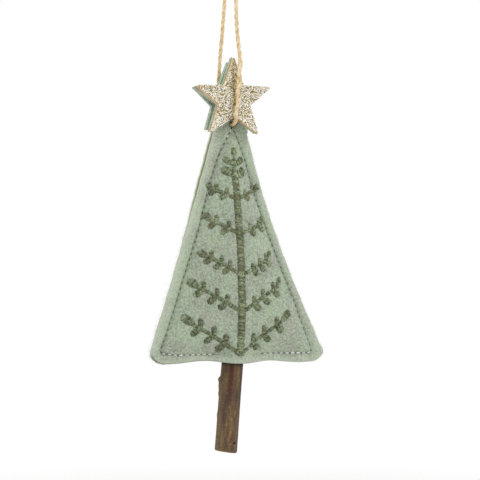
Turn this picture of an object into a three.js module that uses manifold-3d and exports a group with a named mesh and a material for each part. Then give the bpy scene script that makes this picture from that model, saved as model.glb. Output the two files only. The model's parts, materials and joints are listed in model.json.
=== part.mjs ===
// A felt Christmas tree ornament: two stitched felt faces over wadding, a twig for a trunk,
// an embroidered sprig, a glittered star pair and a loop of jute twine.
// Millimetres, +Z up, front towards -Y, origin inside the top of the hanging loop.
import * as THREE from "three";
import { mergeVertices } from "three/addons/utils/BufferGeometryUtils.js";
import Module from "manifold-3d";

const wasm = await Module();
wasm.setup();

// Clearances
const fitGap = 0.3;
const cutOverrun = 2;
const weldDistance = 0.01;

// Felt tree, measured down from the hole that the twine goes through
const feltThickness = 2.6;
const seamGap = 0.3;
const holeToHem = 98.7;
const halfWidthAtHole = 6;
const holeSideShift = 0.6;
const hemHalfWidth = 40;
const straightFlareShare = 0.731;
const cornerRadius = 5.4;
const hemDrift = 3.8;
const driftStart = 25;
const driftPowerShare = 1.5;
const hemWave = 0.55;
const hemWavePitch = 28;
const hemWaveFade = 11;
const stitchInset = 3.5;
const stitchSideShift = -0.6;
const pillowRise = 4.2;
const pillowRun = 14;
const slopeShare = 0.95;
const blendPower = 6;
const twineHoleDiameter = 2.4;

// Hanging twine
const twineDiameter = 1.6;
const hangerDrop = 90;
const tailLength = 9;
const tailSplay = 2.4;
const knotRadius = 2.4;
const knotCentreHeight = 93.6;

// Twig
const twigDiameter = 9.3;
const twigEndBelowHole = 135.8;
const twigInserted = 24;
const twigTopTaper = 0.25;
const twigSideOffset = 0.7;
const twigLean = THREE.MathUtils.degToRad(4.2);
const twigCutSlant = THREE.MathUtils.degToRad(8);
const barkThickness = 0.9;
const twigGlueDepth = 3;
const pocketHalfWidth = 12.5;
const pocketClearance = 0.5;
const pocketFade = 15;

// Wadding
const waddingGap = 0.8;
const waddingMargin = 4.2;
const waddingTwigSpace = 1.2;
const waddingTopBelowHole = 12;

// Machine stitches
const stitchPitch = 2.5;
const threadDiameter = 0.56;
const threadAtNeedleHole = 0.26;
const stitchStartBelowHole = 1.2;
const stitchSpread = 4.5;
const stitchGapHalfWidth = 11;
const stitchCornerRadius = 2.5;
const stitchSideStep = 5;

// Embroidered sprig
const embroideryThickness = 0.6;
const embroideryGap = 0.65;
const trunkTopBelowHole = 20.6;
const trunkBottomBelowHole = 95.5;
const trunkTopWidth = 2.7;
const trunkBottomWidth = 3.4;
const trunkBow = 2.9;
const branchWidth = 1.4;
const leafLength = 3.1;
const leafWidth = 2.1;
const leafReach = 2.4;
const berryDiameter = 2.7;
const leafPairs = 2;
const leafStaggerShare = 0.45;
const upperLeafShare = 0.86;
const lowerLeafShare = 0.74;
const berryShare = 0.92;
const leafTilt = THREE.MathUtils.degToRad(58);
const finialTopBelowHole = 10;
const finialUpperPairBelowHole = 14.2;
const finialLowerPairBelowHole = 19.2;
const finialLeafOut = 3.2;
const finialLeafDiameter = 3.5;

// Star
const starRadius = 17.2;
const starInnerRadius = 7.3;
const starTipTrim = 0.45;
const starCentreAboveHole = 9.8;
const starSideOffset = -1.2;
const starRoll = THREE.MathUtils.degToRad(0.4);
const boardThickness = 1.5;
const glitterThickness = 0.3;
const starFeltGrowth = 0.25;
const backStarSideShift = 2;
const backStarRise = 0.8;
const glueDabDiameter = 2.3;

// Counts
const sideRows = 19;
const tipRows = 3;
const cornerRows = 3;
const middleColumns = 16;
const columnCrowdingShare = 0.2;
const twineSides = 8;
const threadSides = 5;
const roundSides = 16;
const twigSides = 20;
const barkRings = 14;
const trunkSteps = 22;
const spraySteps = 8;
const discSides = 10;
const leafSides = 7;
const leafSweepShare = 0.7;
const glueDabSides = 3;
const starPoints = 5;
const knotSteps = 36;
const tailSteps = 4;
const knotOpeningShare = 0.03;
const knotLobeShare = 0.66;

// Each tier of branches: its join down the trunk as a share of the tree's depth, its left and right
// reach as shares of the half width there, its rise as a share of its reach, and its leaf pairs
const tierShares = [
  { join: 0.306, reach: [0.59, 0.41], rise: [0.5, 0.5], extraPairs: 0 },
  { join: 0.452, reach: [0.68, 0.5], rise: [0.49, 0.58], extraPairs: 0 },
  { join: 0.619, reach: [0.676, 0.543], rise: [0.5, 0.58], extraPairs: 1 },
  { join: 0.777, reach: [0.673, 0.618], rise: [0.54, 0.6], extraPairs: 1 },
  { join: 0.952, reach: [0.613, 0.56], rise: [0.6, 0.68], extraPairs: 1 },
];

const twigRadius = twigDiameter / 2;
const twigLength = twigInserted + twigEndBelowHole - holeToHem;
const twineRadius = twineDiameter / 2;

// Colours and surfaces
const surfaces = {
  felt: { color: 0xa9b7a3, roughness: 0.96, metalness: 0 },
  wadding: { color: 0xf1efe8, roughness: 1, metalness: 0 },
  bark: { color: 0x64563a, roughness: 0.85, metalness: 0 },
  wood: { color: 0xc8a878, roughness: 0.8, metalness: 0 },
  thread: { color: 0xdfe3da, roughness: 0.7, metalness: 0 },
  floss: { color: 0x5d6547, roughness: 0.6, metalness: 0 },
  board: { color: 0xb98f5a, roughness: 0.75, metalness: 0 },
  glitter: { color: 0xd2c6a2, roughness: 0.35, metalness: 0.4 },
  glue: { color: 0xe9e2cf, roughness: 0.3, metalness: 0 },
  twine: { color: 0xcfae7c, roughness: 0.92, metalness: 0 },
};

function named(name, geometry, surface) {
  const mesh = new THREE.Mesh(geometry, new THREE.MeshStandardMaterial(surfaces[surface]));
  mesh.name = name;
  return mesh;
}

// Joining and cutting
function solid(geometry) {
  const bare = geometry.clone();
  bare.deleteAttribute("normal");
  bare.deleteAttribute("uv");
  const merged = mergeVertices(bare);
  return new wasm.Manifold(
    new wasm.Mesh({
      numProp: 3,
      vertProperties: merged.attributes.position.array,
      triVerts: new Uint32Array(merged.index.array),
    }),
  );
}

function geometryOf(made) {
  const mesh = made.getMesh();
  const geometry = new THREE.BufferGeometry();
  geometry.setAttribute("position", new THREE.BufferAttribute(mesh.vertProperties, 3));
  geometry.setIndex(new THREE.BufferAttribute(mesh.triVerts, 1));
  geometry.computeVertexNormals();
  return geometry;
}

// Corners nearer than the weld distance become one, and faces that close up are dropped
function welded(geometry) {
  const bare = geometry.clone();
  bare.deleteAttribute("normal");
  const merged = mergeVertices(bare, weldDistance);
  const kept = [];
  for (let i = 0; i < merged.index.count; i += 3) {
    const face = [0, 1, 2].map((corner) => merged.index.getX(i + corner));
    if (new Set(face).size === 3) kept.push(...face);
  }
  merged.setIndex(kept);
  return merged;
}

function joined(geometries) {
  return welded(geometryOf(geometries.map(solid).reduce((whole, next) => whole.add(next))));
}

function cut(geometry, tools) {
  return geometryOf(tools.map(solid).reduce((left, tool) => left.subtract(tool), solid(geometry)));
}

// The tree's outline: half width and centre line at a height below the hole
function halfWidth(z) {
  if (z > 0) return Math.sqrt(Math.max(halfWidthAtHole ** 2 - z ** 2, 0));
  const down = -z / holeToHem;
  const flare = straightFlareShare * down + (1 - straightFlareShare) * down ** 2;
  return halfWidthAtHole + (hemHalfWidth - halfWidthAtHole) * flare;
}

function centreLine(z) {
  const down = Math.max(-z - driftStart, 0) / (holeToHem - driftStart);
  return hemDrift * down ** driftPowerShare - holeSideShift;
}

function twigLine(z) {
  return twigSideOffset + (z + holeToHem) * Math.tan(twigLean);
}

function hemLift(x, z) {
  const nearHem = THREE.MathUtils.clamp(1 - (z + holeToHem) / hemWaveFade, 0, 1);
  const across = THREE.MathUtils.clamp((x - twigSideOffset) / hemWavePitch, -1, 1);
  return -hemWave * nearHem * Math.cos(2 * Math.PI * across);
}

// The stitch line sits a little to one side of the outline, less so towards the hem
function stitchCentre(z) {
  return centreLine(z) + stitchSideShift * THREE.MathUtils.clamp(1 + z / holeToHem, 0, 1);
}

// How far each felt's inner face stands off the middle plane
function stitchShare(z) {
  return 1 - Math.exp(-Math.max(-z - stitchStartBelowHole, 0) / stitchSpread);
}

function pillow(x, z) {
  const fromSide = (halfWidth(z) - Math.abs(x - stitchCentre(z))) * slopeShare;
  const fromEdge = Math.min(fromSide, z + holeToHem);
  const share = THREE.MathUtils.clamp((fromEdge - stitchInset) / pillowRun, 0, 1);
  return pillowRise * share * (2 - share) * stitchShare(z);
}

function twigPocket(x, z) {
  const aside = Math.min(Math.abs(x - twigLine(z)) / pocketHalfWidth, 1);
  const top = -holeToHem + twigInserted + twigGlueDepth;
  const fade = THREE.MathUtils.clamp((top + pocketFade - z) / pocketFade, 0, 1);
  return ((twigRadius + pocketClearance) * (1 + Math.cos(Math.PI * aside)) * fade) / 2;
}

function innerFace(x, z) {
  const bulge = (pillow(x, z) ** blendPower + twigPocket(x, z) ** blendPower) ** (1 / blendPower);
  return seamGap / 2 + bulge;
}

function outerFace(x, z) {
  return innerFace(x, z) + feltThickness;
}

// A closed sheet over rows of [x, z] places, from y = near to y = far
function closedSheet(rows, near, far) {
  const columns = rows[0].length;
  const positions = [];
  for (const face of [near, far]) {
    for (const row of rows) {
      for (const [x, z] of row) positions.push(x, face(x, z), z);
    }
  }
  const offset = rows.length * columns;
  const at = (i, j) => i * columns + j;
  const index = [];
  const border = [];
  for (let i = 0; i < rows.length - 1; i++) {
    for (let j = 0; j < columns - 1; j++) {
      const [a, b, c, d] = [at(i, j), at(i, j + 1), at(i + 1, j + 1), at(i + 1, j)];
      index.push(a, d, c, a, c, b);
      index.push(a + offset, c + offset, d + offset, a + offset, b + offset, c + offset);
    }
    border.push([at(i, 0), at(i + 1, 0)]);
    border.push([at(i + 1, columns - 1), at(i, columns - 1)]);
  }
  for (let j = 0; j < columns - 1; j++) {
    border.push([at(0, j + 1), at(0, j)]);
    border.push([at(rows.length - 1, j), at(rows.length - 1, j + 1)]);
  }
  for (const [p, q] of border) index.push(q, p, p + offset, q, p + offset, q + offset);
  const geometry = new THREE.BufferGeometry();
  geometry.setAttribute("position", new THREE.Float32BufferAttribute(positions, 3));
  geometry.setIndex(index);
  geometry.computeVertexNormals();
  return geometry;
}

// A round rod along Y through a place on the tree
function rodAlongY(diameter, length, x, z) {
  const rod = new THREE.CylinderGeometry(diameter / 2, diameter / 2, length, roundSides);
  rod.translate(x, 0, z);
  return rod;
}

// Places across a row from -1 to 1, closer together over the twig
function crowded(share) {
  return share * (1 - columnCrowdingShare + columnCrowdingShare * share ** 2);
}

// Rows of places that cover the tree's outline, with round top and bottom corners
function treeRows() {
  const rows = [];
  const cornerTop = -holeToHem + cornerRadius;
  const quarter = Math.PI / 2;
  const addRow = (z, half) => {
    const edge = Math.min(stitchInset / slopeShare, half / 2);
    const shares = [-1, -1 + edge / half / 2];
    for (let j = 0; j <= middleColumns; j++) {
      shares.push((1 - edge / half) * crowded((2 * j) / middleColumns - 1));
    }
    shares.push(1 - edge / half / 2, 1);
    rows.push(shares.map((share) => {
      const x = centreLine(z) + share * half;
      return [x, z + hemLift(x, z)];
    }));
  };
  for (let i = tipRows; i > 0; i--) {
    const angle = (quarter * i) / (tipRows + 1 / 2);
    addRow(halfWidthAtHole * Math.sin(angle), halfWidthAtHole * Math.cos(angle));
  }
  for (let i = 0; i <= sideRows; i++) {
    const z = (cornerTop * i) / sideRows;
    addRow(z, halfWidth(z));
  }
  for (let i = 1; i <= cornerRows; i++) {
    const angle = (quarter * i) / cornerRows;
    const z = cornerTop - cornerRadius * Math.sin(angle);
    addRow(z, halfWidth(cornerTop) - cornerRadius * (1 - Math.cos(angle)));
  }
  return rows;
}

function feltFace(side) {
  const rows = treeRows();
  const inner = (x, z) => side * innerFace(x, z);
  const outer = (x, z) => side * outerFace(x, z);
  const sheet = side < 0 ? closedSheet(rows, outer, inner) : closedSheet(rows, inner, outer);
  const reach = 2 * (seamGap + feltThickness + cutOverrun);
  return cut(sheet, [rodAlongY(twineHoleDiameter, reach, 0, 0)]);
}

// The twig leans, so its pieces are built upright and placed by one matrix
function placeTwig(geometry) {
  const middle = -holeToHem + twigInserted - twigLength / 2;
  geometry.rotateX(Math.PI / 2);
  geometry.rotateY(twigLean);
  geometry.translate(twigLine(middle), 0, middle);
  return geometry;
}

// The saw cut at the twig's lower end slopes a little
function slantLowerEnd(geometry) {
  const places = geometry.attributes.position;
  for (let i = 0; i < places.count; i++) {
    const low = places.getY(i) < -twigLength / 4;
    if (low) places.setY(i, places.getY(i) - places.getX(i) * Math.tan(twigCutSlant));
  }
  return geometry;
}

// Bumps on the bark: height share of its thickness, place along the twig, bearing and size shares
const barkBumpShares = [
  { height: 0.75, along: 0.54, turn: 0.5, spread: 0.55 },
  { height: 0.7, along: 0.09, turn: 0.8, spread: 0.5 },
  { height: 0.35, along: 0.32, turn: 0.97, spread: 0.7 },
  { height: 0.3, along: 0.46, turn: 0.62, spread: 0.6 },
];

function barkRadius(along, turn) {
  let radius = twigRadius - twigTopTaper * along;
  for (const bump of barkBumpShares) {
    const apart = Math.abs(turn - bump.turn);
    const aside = Math.min(apart, 1 - apart) * 2 * Math.PI * twigRadius;
    const away = (along - bump.along) * twigLength;
    const spread = bump.spread * twigRadius;
    radius += bump.height * barkThickness * Math.exp(-(aside ** 2 + away ** 2) / spread ** 2);
  }
  return radius;
}

function barkTube() {
  const inner = twigRadius - twigTopTaper - barkThickness;
  const profile = [];
  for (let i = 0; i <= barkRings; i++) {
    profile.push(new THREE.Vector2(twigRadius, twigLength * (i / barkRings - 1 / 2)));
  }
  profile.push(new THREE.Vector2(inner, twigLength / 2));
  profile.push(new THREE.Vector2(inner, -twigLength / 2));
  profile.push(new THREE.Vector2(twigRadius, -twigLength / 2));
  const tube = new THREE.LatheGeometry(profile, twigSides);
  const places = tube.attributes.position;
  for (let i = 0; i < places.count; i++) {
    const [x, y, z] = [places.getX(i), places.getY(i), places.getZ(i)];
    const far = Math.hypot(x, z);
    if (far < twigRadius - barkThickness / 2) continue;
    const turn = (Math.atan2(z, x) / (2 * Math.PI) + 1) % 1;
    const scale = barkRadius(y / twigLength + 1 / 2, turn) / far;
    places.setX(i, x * scale);
    places.setZ(i, z * scale);
  }
  return placeTwig(slantLowerEnd(tube));
}

function twigCore() {
  const radius = twigRadius - twigTopTaper - barkThickness - fitGap;
  const core = new THREE.CylinderGeometry(radius, radius, twigLength, twigSides);
  return placeTwig(slantLowerEnd(core));
}

function twigGlue() {
  const radius = twigRadius - twigTopTaper - fitGap;
  const depth = twigGlueDepth - fitGap;
  const dab = new THREE.CylinderGeometry(radius - fitGap, radius, depth, roundSides);
  dab.translate(0, twigLength / 2 + fitGap + depth / 2, 0);
  return placeTwig(dab);
}

// Wadding: a pillow inside the stitch line, split round the twig
function wadding() {
  const columns = middleColumns;
  const rowCount = sideRows;
  const top = -waddingTopBelowHole;
  const bottom = -holeToHem + stitchInset + waddingMargin;
  const inset = (stitchInset + waddingMargin) / slopeShare;
  const rows = [];
  for (let i = 0; i <= rowCount; i++) {
    const z = top + ((bottom - top) * i) / rowCount;
    const half = (halfWidth(z) - inset) * stitchShare(z);
    const row = [];
    for (let j = 0; j <= columns; j++) {
      row.push([stitchCentre(z) + half * crowded((2 * j) / columns - 1), z]);
    }
    rows.push(row);
  }
  const face = (x, z) => innerFace(x, z) - waddingGap;
  const body = closedSheet(rows, (x, z) => -face(x, z), face);
  const radius = twigRadius + waddingTwigSpace;
  const length = twigLength + 2 * (twigGlueDepth + fitGap);
  const channel = new THREE.CylinderGeometry(radius, radius, length, roundSides);
  return cut(body, [placeTwig(channel)]);
}

// A thread of round sections along a list of places, each with its own radius
function threadAlong(points, radii) {
  const positions = [];
  const index = [];
  const forward = new THREE.Vector3();
  const aside = new THREE.Vector3();
  const out = new THREE.Vector3();
  points.forEach((point, i) => {
    const before = points[Math.max(i - 1, 0)];
    const after = points[Math.min(i + 1, points.length - 1)];
    forward.subVectors(after, before).normalize();
    aside.set(0, 1, 0).cross(forward).normalize();
    out.crossVectors(forward, aside);
    for (let k = 0; k < threadSides; k++) {
      const angle = (2 * Math.PI * k) / threadSides;
      const place = point.clone();
      place.addScaledVector(aside, radii[i] * Math.cos(angle));
      place.addScaledVector(out, radii[i] * Math.sin(angle));
      positions.push(place.x, place.y, place.z);
    }
  });
  for (let i = 0; i < points.length - 1; i++) {
    for (let k = 0; k < threadSides; k++) {
      const next = (k + 1) % threadSides;
      const [a, b] = [i * threadSides + k, i * threadSides + next];
      const [c, d] = [a + threadSides, b + threadSides];
      index.push(a, b, d, a, d, c);
    }
  }
  const last = (points.length - 1) * threadSides;
  for (let k = 1; k < threadSides - 1; k++) {
    index.push(0, k + 1, k);
    index.push(last, last + k, last + k + 1);
  }
  const geometry = new THREE.BufferGeometry();
  geometry.setAttribute("position", new THREE.Float32BufferAttribute(positions, 3));
  geometry.setIndex(index);
  geometry.computeVertexNormals();
  return geometry;
}

// The line of stitches: up the left side, over below the hole, down the right side,
// and along the hem from both corners as far as the twig's pocket
function stitchLine() {
  const hem = -holeToHem + stitchInset;
  const side = (z, way) => {
    const half = (halfWidth(z) - stitchInset / slopeShare) * stitchShare(z);
    return new THREE.Vector2(stitchCentre(z) + way * half, z);
  };
  const half = (way) => {
    const corner = side(hem + stitchCornerRadius, way);
    const onHem = new THREE.Vector2(corner.x - way * stitchCornerRadius / 2, hem);
    const places = [new THREE.Vector2(twigSideOffset + way * stitchGapHalfWidth, hem), onHem];
    for (let z = corner.y; z < -stitchStartBelowHole - stitchSideStep; z += stitchSideStep) {
      places.push(side(z, way));
    }
    return places;
  };
  const tip = new THREE.Vector2(stitchCentre(0), -stitchStartBelowHole);
  return [...half(-1), tip, ...half(1).reverse()];
}

function stitches(side) {
  const places = stitchLine();
  const lengths = [0];
  for (let i = 1; i < places.length; i++) {
    lengths.push(lengths[i - 1] + places[i].distanceTo(places[i - 1]));
  }
  const total = lengths[lengths.length - 1];
  const steps = 2 * Math.round(total / stitchPitch);
  const points = [];
  const radii = [];
  for (let i = 0; i <= steps; i++) {
    const along = (total * i) / steps;
    let piece = 1;
    while (piece < places.length - 1 && lengths[piece] < along) piece++;
    const share = (along - lengths[piece - 1]) / (lengths[piece] - lengths[piece - 1]);
    const place = places[piece - 1].clone().lerp(places[piece], share);
    const radius = (i % 2 ? threadDiameter : threadAtNeedleHole) / 2;
    const z = place.y + hemLift(place.x, place.y);
    const y = side * (outerFace(place.x, z) + fitGap + threadDiameter / 2);
    points.push(new THREE.Vector3(place.x, y, z));
    radii.push(radius);
  }
  return threadAlong(points, radii);
}

// Embroidery lies on the front felt. Stems are the thickest, and what grows from them starts
// inside their thickness.
function underEmbroidery(x, z) {
  return -outerFace(x, z) - embroideryGap;
}

function flatPiece(outline, thicknessShare) {
  const depth = embroideryThickness * thicknessShare;
  const piece = new THREE.ExtrudeGeometry(new THREE.Shape(outline), { depth, bevelEnabled: false });
  piece.rotateX(Math.PI / 2);
  const places = piece.attributes.position;
  for (let i = 0; i < places.count; i++) {
    const [x, y, z] = [places.getX(i), places.getY(i), places.getZ(i)];
    places.setY(i, y + underEmbroidery(x, z) - (embroideryThickness - depth) / 2);
  }
  return piece;
}

function strip(centres, width, thicknessShare = 1) {
  const rows = centres.map((centre, i) => {
    const before = centres[Math.max(i - 1, 0)];
    const after = centres[Math.min(i + 1, centres.length - 1)];
    const along = after.clone().sub(before).normalize();
    const aside = new THREE.Vector2(-along.y, along.x).multiplyScalar(width / 2);
    return [-1, 1].map((way) => [centre.x + way * aside.x, centre.y + way * aside.y]);
  });
  const thinner = (embroideryThickness * (1 - thicknessShare)) / 2;
  const near = (x, z) => underEmbroidery(x, z) - embroideryThickness + thinner;
  return closedSheet(rows, near, (x, z) => underEmbroidery(x, z) - thinner);
}

function disc(centre, diameter, thicknessShare) {
  const outline = [];
  for (let i = 0; i < discSides; i++) {
    const angle = (2 * Math.PI * i) / discSides;
    const spoke = new THREE.Vector2(Math.cos(angle), Math.sin(angle));
    outline.push(centre.clone().addScaledVector(spoke, diameter / 2));
  }
  return flatPiece(outline, thicknessShare);
}

// A drop-shaped leaf with its point at the foot
function leaf(foot, direction, thicknessShare) {
  const along = direction.clone().normalize();
  const aside = new THREE.Vector2(-along.y, along.x);
  const centre = foot.clone().addScaledVector(along, leafReach);
  const outline = [foot.clone()];
  for (let i = 0; i <= leafSides; i++) {
    const angle = Math.PI * leafSweepShare * ((2 * i) / leafSides - 1);
    const place = centre.clone();
    place.addScaledVector(along, (Math.cos(angle) * leafLength) / 2);
    place.addScaledVector(aside, (Math.sin(angle) * leafWidth) / 2);
    outline.push(place);
  }
  return flatPiece(outline, thicknessShare);
}

// The trunk bows a little and ends over the twig
function trunkLine(z) {
  const share = (-z - trunkTopBelowHole) / (trunkBottomBelowHole - trunkTopBelowHole);
  return twigLine(-trunkBottomBelowHole) * share + trunkBow * share * (2 - 2 * share);
}

function trunkWidth(z) {
  const share = (-z - trunkTopBelowHole) / (trunkBottomBelowHole - trunkTopBelowHole);
  return trunkTopWidth + (trunkBottomWidth - trunkTopWidth) * share;
}

function trunk() {
  const rows = [];
  for (let i = 0; i <= trunkSteps; i++) {
    const z = -trunkTopBelowHole - ((trunkBottomBelowHole - trunkTopBelowHole) * i) / trunkSteps;
    const half = trunkWidth(z) / 2;
    rows.push([-1, -1 / 2, 1 / 2, 1].map((across) => [trunkLine(z) + across * half, z]));
  }
  return closedSheet(rows, (x, z) => underEmbroidery(x, z) - embroideryThickness, underEmbroidery);
}

function finial() {
  const foot = new THREE.Vector2(trunkLine(-trunkTopBelowHole), -trunkTopBelowHole + fitGap);
  const middle = centreLine(0);
  const top = new THREE.Vector2(middle, -finialTopBelowHole - leafLength);
  const bud = leaf(new THREE.Vector2(middle, top.y - leafReach / 2), new THREE.Vector2(0, 1), berryShare);
  const pieces = [strip([foot, top], branchWidth), bud];
  const pairs = [
    { height: -finialUpperPairBelowHole, drop: leafReach, diameter: berryDiameter },
    { height: -finialLowerPairBelowHole, drop: branchWidth / 2, diameter: finialLeafDiameter },
  ];
  for (const pair of pairs) {
    const stem = new THREE.Vector2(middle, pair.height - pair.drop);
    for (const way of [-1, 1]) {
      const place = new THREE.Vector2(middle + way * finialLeafOut, pair.height);
      pieces.push(strip([stem, place], branchWidth, way < 0 ? upperLeafShare : lowerLeafShare));
      pieces.push(disc(place, pair.diameter, berryShare));
    }
  }
  return joined(pieces);
}

// One side of a tier: a rising arc with leaves above and below it and a berry at its tip
function spray(tier, way) {
  const which = way < 0 ? 0 : 1;
  const z = -tier.join * holeToHem;
  const reach = tier.reach[which] * halfWidth(z);
  const rise = tier.rise[which] * reach;
  const start = trunkWidth(z) / 2 + 2 * fitGap;
  const arc = (share) => {
    const out = start + (reach - start) * share;
    const up = rise * (out / reach) * (out / (out + branchWidth));
    return new THREE.Vector2(trunkLine(z) + way * out, z + up);
  };
  const centres = [];
  for (let i = 0; i <= spraySteps; i++) centres.push(arc(i / spraySteps));
  const pieces = [strip(centres, branchWidth), disc(arc(1), berryDiameter, berryShare)];
  const pairs = leafPairs + tier.extraPairs;
  const spacing = 1 / (pairs + 1);
  for (let k = 1; k <= pairs; k++) {
    const pair = [
      { share: spacing * k, turn: leafTilt, thickness: upperLeafShare },
      { share: spacing * (k + leafStaggerShare), turn: -leafTilt, thickness: lowerLeafShare },
    ];
    for (const { share, turn, thickness } of pair) {
      const foot = arc(share);
      const along = arc(share + spacing / 4).sub(foot);
      pieces.push(leaf(foot, along.rotateAround(new THREE.Vector2(), way * turn), thickness));
    }
  }
  return joined(pieces);
}

// The star pair: each star leans so that both touch above the tree's tip
const starTopHeight = starCentreAboveHole + starRadius;
const tipFace = seamGap / 2 + feltThickness + fitGap;
const starTiltSlope = (tipFace - fitGap / 2) / (starTopHeight - halfWidthAtHole);
const starTilt = Math.atan(starTiltSlope);

function starFoot(z) {
  return fitGap / 2 + starTiltSlope * (starTopHeight - z);
}

function starPlate(radius, innerRadius, depth, from) {
  const outline = [];
  const spoke = (angle, length) => new THREE.Vector2(length * Math.cos(angle), length * Math.sin(angle));
  const trim = starTipTrim / radius;
  for (let i = 0; i < starPoints; i++) {
    const tip = Math.PI / 2 + (2 * Math.PI * i) / starPoints;
    outline.push(spoke(tip - trim, radius - starTipTrim));
    outline.push(spoke(tip + trim, radius - starTipTrim));
    outline.push(spoke(tip + Math.PI / starPoints, innerRadius));
  }
  const plate = new THREE.ExtrudeGeometry(new THREE.Shape(outline), { depth, bevelEnabled: false });
  plate.rotateX(Math.PI / 2);
  plate.translate(0, -from, 0);
  return plate;
}

function starGroup(side) {
  const group = new THREE.Group();
  const shift = side < 0 ? 0 : backStarSideShift;
  const height = starCentreAboveHole + (side < 0 ? 0 : backStarRise);
  group.position.set(starSideOffset + shift, side * starFoot(height), height);
  group.rotation.set(side * starTilt, starRoll, 0);
  return group;
}

// A dab of glue in the wedge between a star and the tree's tip
function glueDab(side, way) {
  const radius = glueDabDiameter / 2;
  const x = way * (halfWidthAtHole - radius - fitGap);
  const z = radius / 2;
  const rows = [];
  for (let i = 0; i <= glueDabSides; i++) {
    const height = 1 - (2 * i) / glueDabSides;
    const reach = radius * (Math.abs(height) < 1 ? 1 : 1 / 2);
    rows.push([-1, 0, 1].map((across) => [x + across * reach, z + height * radius]));
  }
  const near = () => side * tipFace;
  const far = (_, height) => side * (starFoot(height) - fitGap);
  return side < 0 ? closedSheet(rows, far, near) : closedSheet(rows, near, far);
}

// Hanging twine: hand-picked places from the hole up to the knot
const frontTwinePlaces = [
  [0, -0.15, 0],
  [-0.05, -3.4, 0.05],
  [-0.35, -6.3, 0.5],
  [-0.8, -8.7, 1.3],
  [-1.2, -9.9, 2.6],
  [-1.2, -10, 4.2],
  [-0.55, -9.6, 6.6],
  [-0.1, -9.2, 9.3],
  [0.05, -8.85, 12],
  [0.5, -8.4, 14.8],
  [0.95, -8, 17.5],
  [1.2, -7.6, 20.3],
  [1.6, -7.2, 23],
  [1.8, -6.8, 26],
  [1.7, -6.5, 29],
  [1.25, -6, 34],
  [0.9, -5.5, 40],
  [0.9, -4.5, 51],
  [0.5, -2.9, 70],
  [0.1, -0.95, 90.1],
];
const backTwinePlaces = [
  [0, 0.15, 0],
  [0, 3.4, 0.1],
  [-0.3, 6.2, 0.5],
  [-1, 7.8, 1.9],
  [-1.7, 8.1, 5],
  [-2.1, 7.8, 9],
  [-2.4, 7.3, 14],
  [-2.6, 6.9, 18],
  [-2.5, 6.5, 22],
  [-2.3, 6.2, 27],
  [-2, 5.7, 32],
  [-1.6, 5.2, 38],
  [-1.25, 4.6, 45],
  [-0.9, 4, 53],
  [-0.5, 2.7, 70],
  [-0.1, 0.95, 90.1],
];

function twineStrand(places) {
  const points = places.map((place) => new THREE.Vector3(...place));
  const curve = new THREE.CatmullRomCurve3(points, false, "centripetal");
  const outline = [];
  for (let i = 0; i < twineSides; i++) {
    const angle = (2 * Math.PI * i) / twineSides;
    outline.push(new THREE.Vector2(Math.cos(angle), Math.sin(angle)).multiplyScalar(twineRadius));
  }
  const steps = Math.round(curve.getLength() / (2 * twineDiameter));
  const options = { steps, extrudePath: curve, bevelEnabled: false };
  return new THREE.ExtrudeGeometry(new THREE.Shape(outline), options);
}

// The knot above the loop: one overhand turn, open where the two strands come in from below. Its
// curve swings as far as a wave of one and a wave of two added, three units either way.
function knot() {
  const unit = knotRadius / 3;
  const places = [];
  for (let i = 0; i <= knotSteps; i++) {
    const turn = knotOpeningShare + ((1 - 2 * knotOpeningShare) * i) / knotSteps;
    const angle = Math.PI * (1 + 2 * turn);
    const x = unit * (Math.sin(angle) + 2 * Math.sin(2 * angle));
    const y = -(knotRadius / 2) * Math.sin(3 * angle);
    const z = unit * (Math.cos(angle) - 2 * Math.cos(2 * angle)) + knotCentreHeight;
    places.push(new THREE.Vector3(x, y, z));
  }
  return threadAlong(places, places.map(() => twineRadius));
}

function tail(way) {
  const foot = knotCentreHeight + knotLobeShare * knotRadius + twineRadius + fitGap;
  const places = [];
  for (let i = 0; i <= tailSteps; i++) {
    const share = i / tailSteps;
    const x = way * (knotRadius / 2 + tailSplay * share ** 2);
    places.push(new THREE.Vector3(x, 0, foot + tailLength * share));
  }
  return threadAlong(places, places.map(() => twineRadius));
}

// Assembly
const group = new THREE.Group();
const ornament = new THREE.Group();
ornament.position.set(0, 0, -hangerDrop);
group.add(ornament);

ornament.add(named("front_felt", feltFace(-1), "felt"));
ornament.add(named("back_felt", feltFace(1), "felt"));
ornament.add(named("wadding", wadding(), "wadding"));
ornament.add(named("twig_bark", barkTube(), "bark"));
ornament.add(named("twig_wood", twigCore(), "wood"));
ornament.add(named("twig_glue", twigGlue(), "glue"));
ornament.add(named("needle_thread", stitches(-1), "thread"));
ornament.add(named("bobbin_thread", stitches(1), "thread"));
ornament.add(named("trunk_embroidery", trunk(), "floss"));
ornament.add(named("finial_embroidery", finial(), "floss"));
tierShares.forEach((tier, i) => {
  ornament.add(named(`spray_left_${i + 1}`, spray(tier, -1), "floss"));
  ornament.add(named(`spray_right_${i + 1}`, spray(tier, 1), "floss"));
});

const frontStar = starGroup(-1);
const backStar = starGroup(1);
const boardFrom = feltThickness + fitGap;
const glitterFrom = boardFrom + boardThickness + fitGap;
const feltStarRadius = starRadius + starFeltGrowth;
const feltStarInnerRadius = starInnerRadius + starFeltGrowth;
const starFelt = (from) => starPlate(feltStarRadius, feltStarInnerRadius, feltThickness, from);
const starFacing = (depth, from) => starPlate(starRadius, starInnerRadius, depth, from);
frontStar.add(named("star_felt_front", starFelt(0), "felt"));
frontStar.add(named("star_board", starFacing(boardThickness, boardFrom), "board"));
frontStar.add(named("star_glitter", starFacing(glitterThickness, glitterFrom), "glitter"));
backStar.add(named("star_felt_back", starFelt(-feltThickness), "felt"));
ornament.add(frontStar, backStar);
for (const [sideName, side] of [["front", -1], ["back", 1]]) {
  ornament.add(named(`star_glue_${sideName}_left`, glueDab(side, -1), "glue"));
  ornament.add(named(`star_glue_${sideName}_right`, glueDab(side, 1), "glue"));
}

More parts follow.
